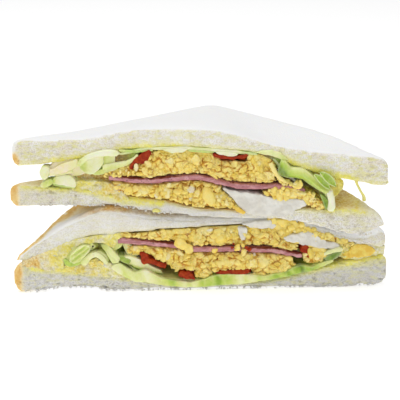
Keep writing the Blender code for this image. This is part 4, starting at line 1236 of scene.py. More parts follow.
# Large smooth yolk pieces and pieces of white in each layer: u, v, z, radius, whiteness
LARGE_CURDS = {
    "upper_egg_top_layer": (
        (-22.5, 0.4, 55, 2.6, 0), (-12.6, 0.2, 55.6, 2.2, 0), (-4.5, 0.2, 56.8, 2, 0.1),
        (13.5, 0.6, 55, 2.2, 0), (22.5, 0.4, 52.4, 2, 0), (5.2, 0.2, 50.6, 1.9, 0),
        (-26.8, -0.9, 53.4, 1.5, 0.45), (-23.5, 0.2, 51.6, 1.2, 0.3), (17.6, 0.2, 49.4, 1.7, 0)),
    "upper_egg_bottom_layer": (
        (3.2, -0.4, 41.6, 3.6, 0), (-30, 0.3, 43.2, 2, 0), (-24, 0.2, 43.4, 2.3, 0),
        (-14, 0.3, 42.5, 2.2, 0.1), (-7, 0.5, 42.8, 1.9, 0), (-18.6, 0, 41.2, 1.2, 0.7),
        (30, 0, 44.6, 1.7, 0), (35.6, -0.3, 43.6, 1.5, 0.1)),
    "lower_egg_top_layer": (
        (-2.5, -0.5, 23, 3.1, 0), (8.2, -0.4, 23.4, 3.9, 0), (-8.2, -1, 20.6, 3, 0),
        (34, 0, 29, 2.3, 0), (30, 0.2, 29.8, 1.8, 0), (37.6, 0, 27, 1.8, 0),
        (-5.4, -1.1, 18.4, 2, 0), (5.4, -0.9, 17.6, 1.3, 0), (26.5, 0.4, 25, 1.9, 0),
        (30.6, 0.2, 23.2, 1.5, 0), (15, -1, 18.4, 1.9, 0), (17.8, -1.1, 16.8, 1.7, 0),
        (17.4, -1.1, 19.6, 1.2, 0), (33.2, 0.2, 24.6, 1.4, 0)),
    "lower_egg_bottom_layer": (
        (-6, 0, 15, 2.8, 0), (2, 0.2, 13.4, 2.2, 0), (9.5, 0.2, 13, 2.4, 0.1),
        (25, 0, 11.6, 2.8, 0), (-14, 0.4, 15.4, 1.9, 0.4), (-27, 0.2, 19, 1.7, 0.4),
        (36.5, 0.2, 13, 1.6, 0), (46, -0.4, 15.2, 2, 0), (48.6, -0.5, 13.4, 2.2, 0),
        (45, -0.2, 12.4, 1.6, 0), (50, -0.3, 15.6, 1.3, 0)),
}


# Mash that shows outside the layers' own solids: (u, z) outlines between a front and a back depth
MASH_FACES = {
    "upper_egg_top_layer": (
        (((-40.6, 49.8), (-37.8, 51.6), (-33.7, 52.8), (-29.5, 54.3), (-26, 55.6), (-24, 52),
         (-27.9, 49.8), (-31.6, 49.2), (-37, 49)), 0.6, 9),
        (((-22, 59.2), (-14, 60.9), (-6, 61.2), (2, 60.8), (5, 59.4), (2, 57.6), (-12, 57.4),
         (-20, 56.8)), 0.5, 9),
        (((19, 58.8), (23.6, 59.8), (27.6, 58.2), (30.6, 56.2), (31.4, 53), (30, 51.4), (25, 53.4),
         (19.6, 55)), 0.5, 9)),
    "upper_egg_bottom_layer": (
        (((25, 43.6), (28.2, 44.6), (34.4, 44.8), (37.3, 45.8), (40.6, 44.7), (43.9, 43.9),
         (47.2, 41.8), (49.7, 40.5), (51.4, 38), (49.8, 36.4), (46.5, 37.5), (43.2, 38.6),
         (40.7, 40.2), (35.7, 40), (30.4, 40.6), (26.2, 41.6)), -0.6, 9),),
    "lower_egg_top_layer": (
        (((-36.4, 24.8), (-33.5, 26), (-29, 25.8), (-29, 23), (-33.4, 23.2), (-36, 22.6)), 0.2, 9),
        (((27.8, 31.4), (34.9, 31.2), (41.2, 28.3), (48.9, 24.9), (58.2, 21.5), (63.4, 19.6),
         (64, 18.2), (58.3, 19.4), (48.9, 22.3), (41.3, 24.6), (35, 24.2), (27.8, 27.7)), 0.2, 12),
        (((29, 26.4), (35, 26.8), (42, 26.2), (50, 23.6), (57, 21), (60, 18.6), (56, 17.6),
         (50, 17), (43, 19), (36, 20.4), (30, 22)), 0.4, 9)),
    "lower_egg_bottom_layer": (
        (((4, 12.4), (21.6, 12.4), (22, 9.4), (19.8, 8.9), (17.5, 9.1), (14.3, 8.7), (12.3, 8.9),
         (10.2, 8.4), (7.9, 8.6), (5.6, 7.6), (4.2, 9)), -1.3, 6),
        (((42.6, 14.6), (44.8, 17), (47.2, 18), (51.2, 17.4), (52.6, 15.2), (51, 12.2), (46.6, 10),
         (43.6, 11.8)), 0, 8)),
}


def mash_relief(points, chunk, seed):
    """How far broken mash stands out from an even face (mm), painted shade for its cracks and
    hollows, and its chunks' tones.
    """
    bent = points + np.stack([swell(points, 2.2, seed + 20 + axis) for axis in range(3)], axis=1)
    rise, cracks, tone = np.zeros(len(points)), np.zeros(len(points)), np.zeros(len(points))
    for size, strength, turn in ((chunk, 1.0, 0), (chunk * 0.45, 0.4, 50)):
        nearest, second, number, lean = cells(bent, size, seed + turn)
        broken = ramp(swell(points, 3.0, seed + turn + 9), -0.9, 0.3)
        crack = (1 - ramp(second - nearest, 0.0, 0.3)) * broken
        rise += strength * (1.5 * (number - 0.5) + 1.1 * lean + 0.5 * (1 - nearest ** 2)
                            - 1.4 * crack ** 1.5)
        cracks += strength * crack ** 1.5
        tone += 0.65 * strength * number
    rise += 0.12 * grain(points, 0.6, seed)
    return rise, np.clip(0.8 * cracks + ramp(-rise, 0.4, 1.8), 0, 1), tone


def depth_behind_front(points):
    """How far behind the foremost curds around it each point lies, in millimetres."""
    step, width, side, top = 0.6, 2.4, 90, 90
    empty, far = 99.0, 50
    i = np.round((points[:, 0] + side) / step).astype(int)
    j = np.round(points[:, 2] / step).astype(int)
    level = np.full((int(2 * side / step) + 2, int(top / step) + 2), empty)
    np.minimum.at(level, (i, j), points[:, 1])
    for _ in range(int(width / step)):
        padded = np.pad(level, 1, mode="edge")
        stack = [padded[1 + a:padded.shape[0] - 1 + a, 1 + b:padded.shape[1] - 1 + b]
                 for a in (-1, 0, 1) for b in (-1, 0, 1)]
        level = np.mean([np.where(cell > far, level, cell) for cell in stack], axis=0)
    return points[:, 1] - level[i, j]


def layer_span(points, width=1.5):
    """The lowest and highest line of a layer's front, as functions of the place along it."""
    front = points[points[:, 1] < 3.0]
    places = np.arange(front[:, 0].min(), front[:, 0].max() + width, width)
    slot = np.clip(((front[:, 0] - places[0]) / width).round().astype(int), 0, len(places) - 1)
    low, high = np.full(len(places), np.inf), np.full(len(places), -np.inf)
    np.minimum.at(low, slot, front[:, 2])
    np.maximum.at(high, slot, front[:, 2])
    known = np.isfinite(low)
    return (lambda u: np.interp(u, places[known], low[known]),
            lambda u: np.interp(u, places[known], high[known]))


def scatter(points, faces, crowding, chance):
    """Random spots on a net, so many for each square millimetre."""
    a, b, c = (points[faces[:, i]] for i in range(3))
    area = np.linalg.norm(np.cross(b - a, c - a), axis=1) / 2
    count = int(area.sum() * crowding)
    picked = chance.choice(len(area), count, p=area / area.sum())
    s, t = chance.random((2, count))
    s, t = np.where(s + t > 1, 1 - s, s), np.where(s + t > 1, 1 - t, t)
    return a[picked] + (b - a)[picked] * s[:, None] + (c - a)[picked] * t[:, None]


def curd_spots(name, settings, chance):
    """Curds that show at the front and round the sides of a layer: u, v, z, radius, whiteness."""
    front_depth, side_crowding, share_of_white = 3, 0.28, 0.08
    points, faces = fine_net(name, voxel=1.2)
    a, b, c = (points[faces[:, i]] for i in range(3))
    normal = np.cross(b - a, c - a)
    normal /= np.maximum(np.linalg.norm(normal, axis=1, keepdims=True), 1e-9)
    depth = points[faces].mean(axis=1)[:, 1]
    low, high = layer_span(points)
    smallest, largest = settings.smallest / MM, settings.largest / MM
    front = (normal[:, 1] < -0.3) & (depth < front_depth)
    sides = (np.abs(normal[:, 2]) < 0.6) & (depth > front_depth)
    rows = []
    for where, crowding in ((front, settings.crowding), (sides, settings.crowding * side_crowding)):
        if not where.any():
            continue
        spots = scatter(points, faces[where], crowding, chance)
        count = len(spots)
        radius = smallest + (largest - smallest) * chance.random(count) ** 1.9
        if where is front:
            floor, roof = low(spots[:, 0]), high(spots[:, 0])
            radius = np.minimum(radius, 0.5 * (roof - floor) + 0.2)
            spots[:, 2] = np.clip(spots[:, 2], floor + 0.72 * radius, roof - 0.72 * radius)
            spots[:, 1] = chance.uniform(-0.2, 1.5, count) + 0.3 * radius
        white = (chance.random(count) < share_of_white) * 0.85
        rows.append(np.column_stack((spots, radius, white)))
    return np.concatenate(rows + [np.array(LARGE_CURDS[name])])


def egg_piece(name, settings, finish, number):
    """One layer of mashed egg: a broken, cohesive mash with separate curds and yolk on its face."""
    chance = np.random.default_rng(settings.seed * 100 + number)
    chunk = settings.chunk / MM
    spots = curd_spots(name, settings, chance)
    core, faces = fine_net(name, voxel=1.15, reach=2.0, cuts=2)
    core = relax(core, faces, 0.5, 1)
    front = 1 - ramp(core[:, 1], 0.6, 2.4)
    rise, deep, tone = mash_relief(core, chunk, settings.seed + 10 * number)
    way = pointing(core, faces) * (1.0, 1.0, 0.45)
    core = core + way * (rise * (0.3 + 0.7 * front))[:, None]
    core[:, 1] += 0.5 * front
    # Painted shade: the mash behind the front is darker
    deep = np.maximum(deep * (0.4 + 0.6 * front), 0.35 * (1 - front))
    piece = Piece(name + "_curds").add(core, faces, {"deep": deep, "tone": tone})
    for outline, start, end in MASH_FACES[name]:
        points, faces, _ = patch_net(outline, start, end, rounds=1)
        rise, deep, tone = mash_relief(points, chunk, settings.seed + 5 * number)
        points = points + pointing(points, faces) * (0.6 * rise)[:, None]
        piece.add(points, faces, {"deep": deep, "tone": tone})
    tones = chance.random(len(spots))
    for points, faces, which in lump_nets(spots[:, :4], rough=1.0, seed=settings.seed + number):
        at_front = points[:, 1] < 6
        # Painted shade: curds behind the foremost ones, and those away from the front, are darker
        deep = np.where(at_front, ramp(depth_behind_front(points), 0.3, 2.0), 0.3) * 0.8
        piece.add(points, faces, {"deep": deep, "tone": tones[which], "white": spots[which, 4]})
    piece.place(finish, "egg", name)


class SANDWICH_OT_egg(bpy.types.Operator):
    """Make the four layers of mashed egg and the loose curds around them"""
    bl_idname = "sandwich.egg"
    bl_label = "Mashed egg"

    def execute(self, context):
        settings = context.scene.sandwich_egg
        finish = egg_finish(settings.mash, settings.crevice_shade_tone)
        for number, name in enumerate(LARGE_CURDS):
            egg_piece(name, settings, finish, number)
        loose_curds(finish)
        return {"FINISHED"}


# Loose curds outside the layers: start and end as (u, v, z), how many, smallest and largest radius
LOOSE_CURDS = {
    "upper": (
        ((-39.5, -0.3, 50), (-27.5, -0.8, 51.4), 26, 0.4, 0.95),
        ((31.5, -0.4, 49), (36.5, -0.6, 47.2), 12, 0.7, 1.2),
        ((35.6, -1.2, 47.6), (40.4, -1.3, 47.6), 9, 1, 1.7),
        ((33, -0.6, 44.5), (46.5, -0.4, 42), 28, 0.7, 1.5),
        ((43.5, 0.2, 42.5), (50, 0.4, 37.8), 22, 0.6, 1.2)),
    "lower": (
        ((34, 0.2, 27.2), (44, 0.4, 25), 18, 0.6, 1.2),
        ((46, 0.6, 23.6), (62, 0.6, 18.2), 52, 0.5, 1.2),
        ((60.5, 0.4, 17.6), (66, 0.6, 16.6), 12, 0.4, 0.8),
        ((42, 0.2, 15), (53, 0.2, 15.2), 26, 0.7, 1.5),
        ((-46.6, 0.4, 12.2), (-41.5, 0.4, 13), 22, 0.5, 1.2)),
}


# A string of egg that hangs between the layers, as (u, v, z, radius) points
EGG_STRAND = ((28.3, -1.0, 56.2, 0.8), (29.4, -1.1, 54.0, 1.05), (31.0, -1.2, 51.5, 0.9),
              (32.9, -1.1, 49.5, 0.9), (35.0, -0.9, 48.3, 0.6))


def loose_curds(finish):
    """Single curds outside the layers, and a string of egg."""
    for half, runs in LOOSE_CURDS.items():
        chance = np.random.default_rng(19)
        spots = []
        for start, end, count, smallest, largest in runs:
            for share in chance.random(count):
                place = np.array(start) + (np.array(end) - np.array(start)) * share
                place += chance.normal(0, (0.5, 0.45, 0.55))
                radius = smallest + (largest - smallest) * chance.random() ** 1.5
                spots.append((*place, radius))
        tones = chance.random(len(spots))
        piece = Piece(half + "_loose_curds")
        for points, faces, which in lump_nets(spots, rough=1.0, seed=23):
            # Painted shade on curds lying behind the foremost ones
            deep = ramp(depth_behind_front(points), 0.3, 2.0)
            piece.add(points, faces, {"deep": deep, "tone": tones[which]})
        piece.place(finish, "egg")
    strand, faces = string_net(EGG_STRAND)
    strand = strand + pointing(strand, faces) * (0.25 * grain(strand, 1.4, 77))[:, None]
    Piece("upper_egg_strand").add(strand, faces, {"tone": 0.8}).place(finish, "egg")


# ---------------------------------------------------------------- ham, tomato, egg white, dressing

# Darkening of the ham's upper and lower edges along the cut, partly browning and partly painted
# shade, and how much pepper shows in it
HAM_LOOKS = {
    "upper_ham": {
        "above": ((-40, 0.5), (-30, 0.8), (-18, 0.9), (-4, 0.4), (14, 0.5), (36, 0.4)),
        "below": ((-40, 0.15), (-12, 0.5), (6, 0.7), (15, 1), (30, 0.8), (40, 0.2)),
        "pepper": ((-40, 1), (-20, 0.9), (-8, 0.4), (40, 0.35))},
    "lower_ham": {
        "above": ((-36, 1), (-33, 0.3), (-27, 0.3), (-24, 0.9), (-11, 1), (-6, 0.3), (18, 0.3),
          (22, 0.9), (44, 1)),
        "below": ((-36, 0.9), (-30, 0.6), (-10, 0.6), (20, 0.4), (44, 0.6)),
        "pepper": ((-36, 0.3), (44, 0.4))},
}


def ham_piece(name, finish, number):
    """One slice of ham: an uneven, slightly frayed slab with a peppered rim, darkened by browning
    and painted shade.
    """
    look = HAM_LOOKS[name]
    points, faces = fine_net(name, voxel=0.85, reach=1.6, cuts=1)
    low, high = layer_span(points, width=1.0)
    u = points[:, 0]
    share = (points[:, 2] - low(u)) / np.maximum(high(u) - low(u), 0.3)
    near = 1 - ramp(points[:, 1], 0.5, 3.0)
    points = relax(points, faces, 0.5, 2)
    spots = points.copy()
    points[:, 1] += near * (0.35 * grain(spots, 5.0, number)
                            + 0.35 * grain(spots, 1.1, number + 1) - 0.5)
    points[:, 2] += near * (0.3 * grain(spots, 3.4, number + 2)
                            + 0.15 * grain(spots, 1.1, number + 5))
    ragged = 0.85 + 0.8 * grain(spots, 2.4, number + 3)
    # Browning and painted shade along the upper and lower edges
    edge = near * ragged * (along(look["above"], u) * ramp(share, 0.52, 0.9)
                            + along(look["below"], u) * ramp(share, 0.3, 0.0))
    marks = {"edge": edge, "pepper": near * along(look["pepper"], u)}
    Piece(name + "_slice").add(points, faces, marks).place(finish, "ham", name)


def plain_piece(name, suffix, finish, slot, voxel, uneven, seed, rounds, recess):
    """A smooth soft filling rounded off from its solid, its front drawn back by a depth."""
    points, faces = fine_net(name, voxel)
    points = relax(points, faces, 0.5, rounds)
    points = points + pointing(points, faces) * (uneven * grain(points, 2.4, seed))[:, None]
    points[:, 1] += recess * (1 - ramp(points[:, 1], 0.0, 6.0))
    Piece(name + suffix).add(points, faces).place(finish, slot, name)


class SANDWICH_OT_ham(bpy.types.Operator):
    """Make the two slices of ham"""
    bl_idname = "sandwich.ham"
    bl_label = "Ham"

    def execute(self, context):
        finish = ham_finish(context.scene.sandwich_fillings.meat)
        for number, name in enumerate(("lower_ham", "upper_ham")):
            ham_piece(name, finish, 60 + 10 * number)
        return {"FINISHED"}


# Ragged fronts of the tomato pieces, as (u, z) outlines
TOMATO_FACES = {
    "upper_tomato_left_face": (
        (-27.4, 57.4), (-24.5, 59.3), (-21.6, 60.8), (-20.8, 59.6), (-21.4, 57.3), (-22.3, 55.4),
        (-24.1, 54.9), (-26.2, 55.2), (-27.9, 54.4), (-28.2, 52.2), (-29.9, 53), (-29, 55.2)),
    "upper_tomato_top_face": (
        (4.8, 59.6), (9, 59), (13.2, 58.6), (18.9, 59.6), (18.6, 58.3), (13.4, 57.2), (8.4, 57.5),
        (5, 58.2)),
    "lower_tomato_left_face": (
        (-25.7, 17.5), (-23.8, 17.4), (-22, 15.8), (-22.5, 14.9), (-21.3, 14.2), (-19.6, 13.7),
        (-18.2, 12.6), (-16.5, 12.8), (-14.4, 11.5), (-15.2, 10.2), (-17, 10), (-18.9, 11),
        (-20.4, 11.9), (-22.5, 12.4), (-24.2, 11.9), (-25.2, 12.9), (-25.4, 15)),
    "lower_tomato_middle_face": (
        (-10, 7), (-8.7, 8.4), (-7.4, 8.5), (-6.3, 7.9), (-5.3, 8.9), (-3.9, 7.2), (-2.6, 4.6),
        (-5.9, 5), (-7.4, 5.6), (-8.9, 5.6)),
    "lower_tomato_right_face": (
        (5.4, 7.4), (7.9, 8.7), (10.2, 8.5), (12.3, 9), (14.3, 8.8), (17.5, 9.2), (20.2, 9),
        (20.4, 7.6), (18.5, 6.8), (14.9, 6.6), (12.3, 6.4), (8.8, 6.6)),
    "lower_tomato_end_face": (
        (42, 18.4), (43.5, 19.4), (45.9, 16.7), (46.9, 13.9), (45.2, 13), (43.4, 15.6),
        (41.2, 16.6)),
}
# Scraps of tomato on the egg, as (u, v, z, radius)
TOMATO_FLECKS = ((12.9, -1.4, 18.8, 0.7), (13.4, -1.2, 20.4, 0.45), (18.9, -1.5, 18.4, 0.95),
                 (20.1, -1.3, 18.0, 0.8), (26.4, -0.9, 22.2, 0.5))


class SANDWICH_OT_tomato(bpy.types.Operator):
    """Make the pieces of tomato"""
    bl_idname = "sandwich.tomato"
    bl_label = "Tomato"

    def execute(self, context):
        finish = tomato_finish(context.scene.sandwich_fillings.flesh)
        for number, name in enumerate(sorted(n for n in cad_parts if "tomato" in n)):
            plain_piece(name, "_piece", finish, "tomato", voxel=0.5, uneven=0.6, seed=90 + number,
                        rounds=4, recess=2.4)
        for number, (name, outline) in enumerate(TOMATO_FACES.items()):
            points, faces, _ = patch_net(outline, front=-0.9, back=4.0, rounds=2, uneven=0.6,
                                         seed=130 + number)
            Piece(name).add(points, faces).place(finish, "tomato")
        flecks = Piece("lower_tomato_flecks")
        for points, faces, _ in lump_nets(TOMATO_FLECKS, rough=0.6, seed=31):
            flecks.add(points, faces)
        flecks.place(finish, "tomato")
        return {"FINISHED"}


# Pieces of egg white that show, as (u, z) outlines with front and back depths
WHITE_BITS = {
    "upper_white_face": (
        ((8.8, 45.4), (11.8, 44.2), (15.9, 43.6), (20, 43.2), (25, 42.2), (29.1, 41.2),
         (34.5, 40.5), (38.6, 41), (42, 40.4), (43.6, 38.6), (41.5, 37), (39, 36.2), (37.6, 34.2),
         (34, 33.4), (28.4, 33.2), (20.1, 33.6), (18, 34.8), (15.6, 37.3), (12.6, 40.9)), -0.5, 5),
    "lower_white_face": (
        ((34.3, 22.4), (36.8, 23.5), (40.4, 24), (42.5, 25), (45.6, 24.4), (48.4, 23.8),
         (49.4, 22.4), (51.3, 21.6), (52.6, 19.9), (55.5, 20.2), (57.8, 19), (58.6, 17), (56, 16.8),
         (52.4, 17.1), (49.2, 17.4), (45.6, 18.4), (43, 18.9), (40.4, 20.1), (37.8, 20.4),
         (35.2, 21.1)), -0.6, 5),
    "lower_white_stick": (
        ((14.9, 27.4), (19.3, 27.2), (19, 24), (18.4, 21.6), (16.8, 21.4), (15.7, 23.6)), -1.2, 3),
    "lower_white_shaving": (
        ((16.6, 28.6), (22.4, 29.8), (28.8, 30), (31.4, 28), (30.4, 26.4), (25.3, 26.4),
         (20.6, 27)), -0.9, 4),
}


class SANDWICH_OT_egg_white(bpy.types.Operator):
    """Make the firm wedges and small pieces of egg white"""
    bl_idname = "sandwich.egg_white"
    bl_label = "Egg white"

    def execute(self, context):
        finish = white_finish()
        for number, name in enumerate(("lower_egg_white", "upper_egg_white")):
            plain_piece(name, "_wedge", finish, "egg_white", voxel=0.55, uneven=0.12,
                        seed=110 + number, rounds=2, recess=1.2)
        for name, (outline, front, back) in WHITE_BITS.items():
            points, faces = outline_net(outline, front, back, voxel=0.38, rounds=2)
            points = points + pointing(points, faces) * (0.75 * grain(points, 2.2, 5))[:, None]
            Piece(name).add(points, faces).place(finish, "egg_white")
        return {"FINISHED"}


# The smooth yolk at the right corner and the smear on the white, as (u, z) outlines
YOLK_FACE = ((62.2, 13.6), (62.0, 16.0), (63.4, 18.0), (66.0, 18.7), (69.0, 18.4), (72.0, 17.4),
             (73.6, 15.6), (71.4, 13.6), (67.0, 12.9))
YOLK_SMEAR = ((12.8, 38.0), (15.4, 36.9), (18.6, 34.9), (17.4, 34.1), (14.4, 35.4))
# Strings of dressing, as (u, v, z, radius) points
DRESSING_RUNS = {
    "upper_dressing_drip": (
        (62.4, 3, 50.2, 0.9), (63.4, 2.4, 48.9, 0.75), (64, 2.1, 46.9, 0.5), (65, 2.1, 45, 0.52),
        (66, 2.4, 43.2, 0.55), (66.9, 3.2, 41.4, 0.6), (67.2, 4.2, 39.6, 0.8)),
    "upper_dressing_spot": (
        (-20.2, -0.15, 34.4, 0.5), (-19.2, -0.25, 34.9, 0.8), (-18.2, -0.25, 34.8, 0.8),
        (-17.4, -0.1, 34.5, 0.4)),
}


class SANDWICH_OT_dressing(bpy.types.Operator):
    """Make the smooth yolk patch, the smear on the white and the drip of dressing"""
    bl_idname = "sandwich.dressing"
    bl_label = "Yolk and dressing"

    def execute(self, context):
        finish = spread_finish(context.scene.sandwich_fillings.dressing)
        plain_piece("lower_spread", "_patch", finish, "spread", voxel=0.5, uneven=0.2, seed=120,
                    rounds=3, recess=0.0)
        yolk, faces, _ = patch_net(YOLK_FACE, -0.4, 4.0, lean=(0.0, 0.12), uneven=0.25, seed=12)
        Piece("lower_yolk_face").add(yolk, faces).place(finish, "spread")
        smear, faces = outline_net(YOLK_SMEAR, -1.6, 1.5, voxel=0.3, rounds=3)
        Piece("upper_yolk_smear").add(smear, faces).place(finish, "spread")
        for name, path in DRESSING_RUNS.items():
            drip, faces = string_net(path)
            drip = drip + pointing(drip, faces) * (0.2 * grain(drip, 1.6, 8))[:, None]
            Piece(name).add(drip, faces, {"pale": 1.0}).place(finish, "spread")
        return {"FINISHED"}


# ---------------------------------------------------------------- lettuce

# Leaves: their line at the cut as (u, z, thickness, green), their front and back depths as numbers
# or (share of the line, depth) points, and how strong and how long their ruffles are (mm)
LEAVES = {
    "upper_lettuce_fold": {
        "path": ((-27.3, 58.2, 0.9, 0.5), (-30.6, 55.6, 0.9, 0.45), (-33.8, 53.1, 1, 0.4),
          (-39.5, 51.3, 1.1, 0.35), (-46.6, 50.6, 1.2, 0.3), (-50.6, 52, 1.3, 0.3),
          (-49.9, 54.4, 1.2, 0.3), (-44, 56.3, 1.1, 0.3), (-36, 58.2, 1, 0.35),
          (-27, 60.3, 1.5, 0.7), (-20, 61.2, 1.5, 0.4), (-7, 61.5, 1.6, 0.15),
          (-2, 61.3, 1.6, 0.55), (3, 61.1, 1.6, 0.45), (6.5, 60.9, 1.7, 0.05),
          (14, 60.3, 1.7, 0.1), (17, 60, 1.4, 0.7), (23.2, 59.4, 1.2, 0.85)),
        "front": ((0, 1.2), (0.4, 1.2), (0.46, -0.2), (1, -0.2)), "back": 60, "frill": 0.25,
        "seed": 3},
    "upper_lettuce_rib": {
        "path": ((25.4, 59.4, 1, 0.95), (29.5, 57.8, 1.3, 0.95), (32.6, 54.8, 2, 0.85),
          (36.2, 52, 2.6, 0.7), (40.5, 51.7, 2.4, 0.62), (44.4, 49.7, 2.4, 0.6),
          (47.6, 47.3, 2.3, 0.58), (50.4, 45.2, 1.8, 0.5), (52.4, 42.3, 1.8, 0.25),
          (54, 39.4, 1.8, 0.08)), "front": 0.2, "back": 50, "frill": 0.15, "seed": 8},
    "upper_lettuce_flap": {
        "path": ((-66.3, 50.4, 1.3, 0.1), (-62, 50.2, 0.9, 0.12), (-57, 51.1, 0.8, 0.1),
          (-52.5, 52.8, 0.8, 0.15)), "front": 0.8, "back": 12, "frill": 0.3, "seed": 12},
    "upper_lettuce_scrap": {
        "path": ((-65.5, 45.2, 0.6, 0.75), (-62.5, 47.4, 0.8, 0.6), (-58.5, 48.3, 0.9, 0.35),
          (-54.5, 47.2, 0.9, 0.35), (-52.2, 45, 0.8, 0.4)), "front": 0.8, "back": 12,
        "frill": 0.3, "seed": 15},
    "lower_lettuce_sheet": {
        "path": ((-38.8, 18.4, 0.9, 0.55), (-36.8, 14.6, 0.9, 0.6), (-33, 11.1, 1, 0.4),
          (-26, 7.1, 1.2, 0.35), (-17, 5, 1.3, 0.4), (-5, 3.9, 1.3, 0.6), (12, 3.8, 1.2, 0.62),
          (25, 4.3, 1.2, 0.7), (37, 6.2, 1.3, 0.8), (46, 8.9, 1.3, 0.78), (54, 11.5, 1.1, 0.6),
          (58, 13.1, 1, 0.7)), "front": ((0, 4.5), (0.08, 4), (0.18, 0.6), (1, 0.4)), "back": 60,
        "frill": 0.3, "seed": 21},
    "lower_lettuce_curl": {
        "path": ((-56.8, 12.8, 0.7, 0.6), (-56.4, 16.3, 0.8, 0.45), (-53.2, 18.9, 0.9, 0.35),
          (-48, 20.5, 1, 0.35), (-45.4, 19.5, 0.9, 0.5), (-48, 17.9, 0.9, 0.5),
          (-51.6, 16.4, 0.9, 0.55), (-52.6, 14.1, 0.8, 0.5), (-50.8, 12.2, 0.7, 0.5)),
        "front": 1.6, "back": 24, "frill": 0.3, "seed": 31, "wave": 3.5},
    "lower_lettuce_arch": {
        "path": ((-48.4, 12.8, 1, 0.4), (-46.6, 15.8, 1.3, 0.35), (-43.4, 17.1, 1.4, 0.35),
          (-40.6, 15.5, 1.3, 0.35), (-39.4, 12.5, 1, 0.4)), "front": 0.4, "back": 24,
        "frill": 0.2, "seed": 35},
}
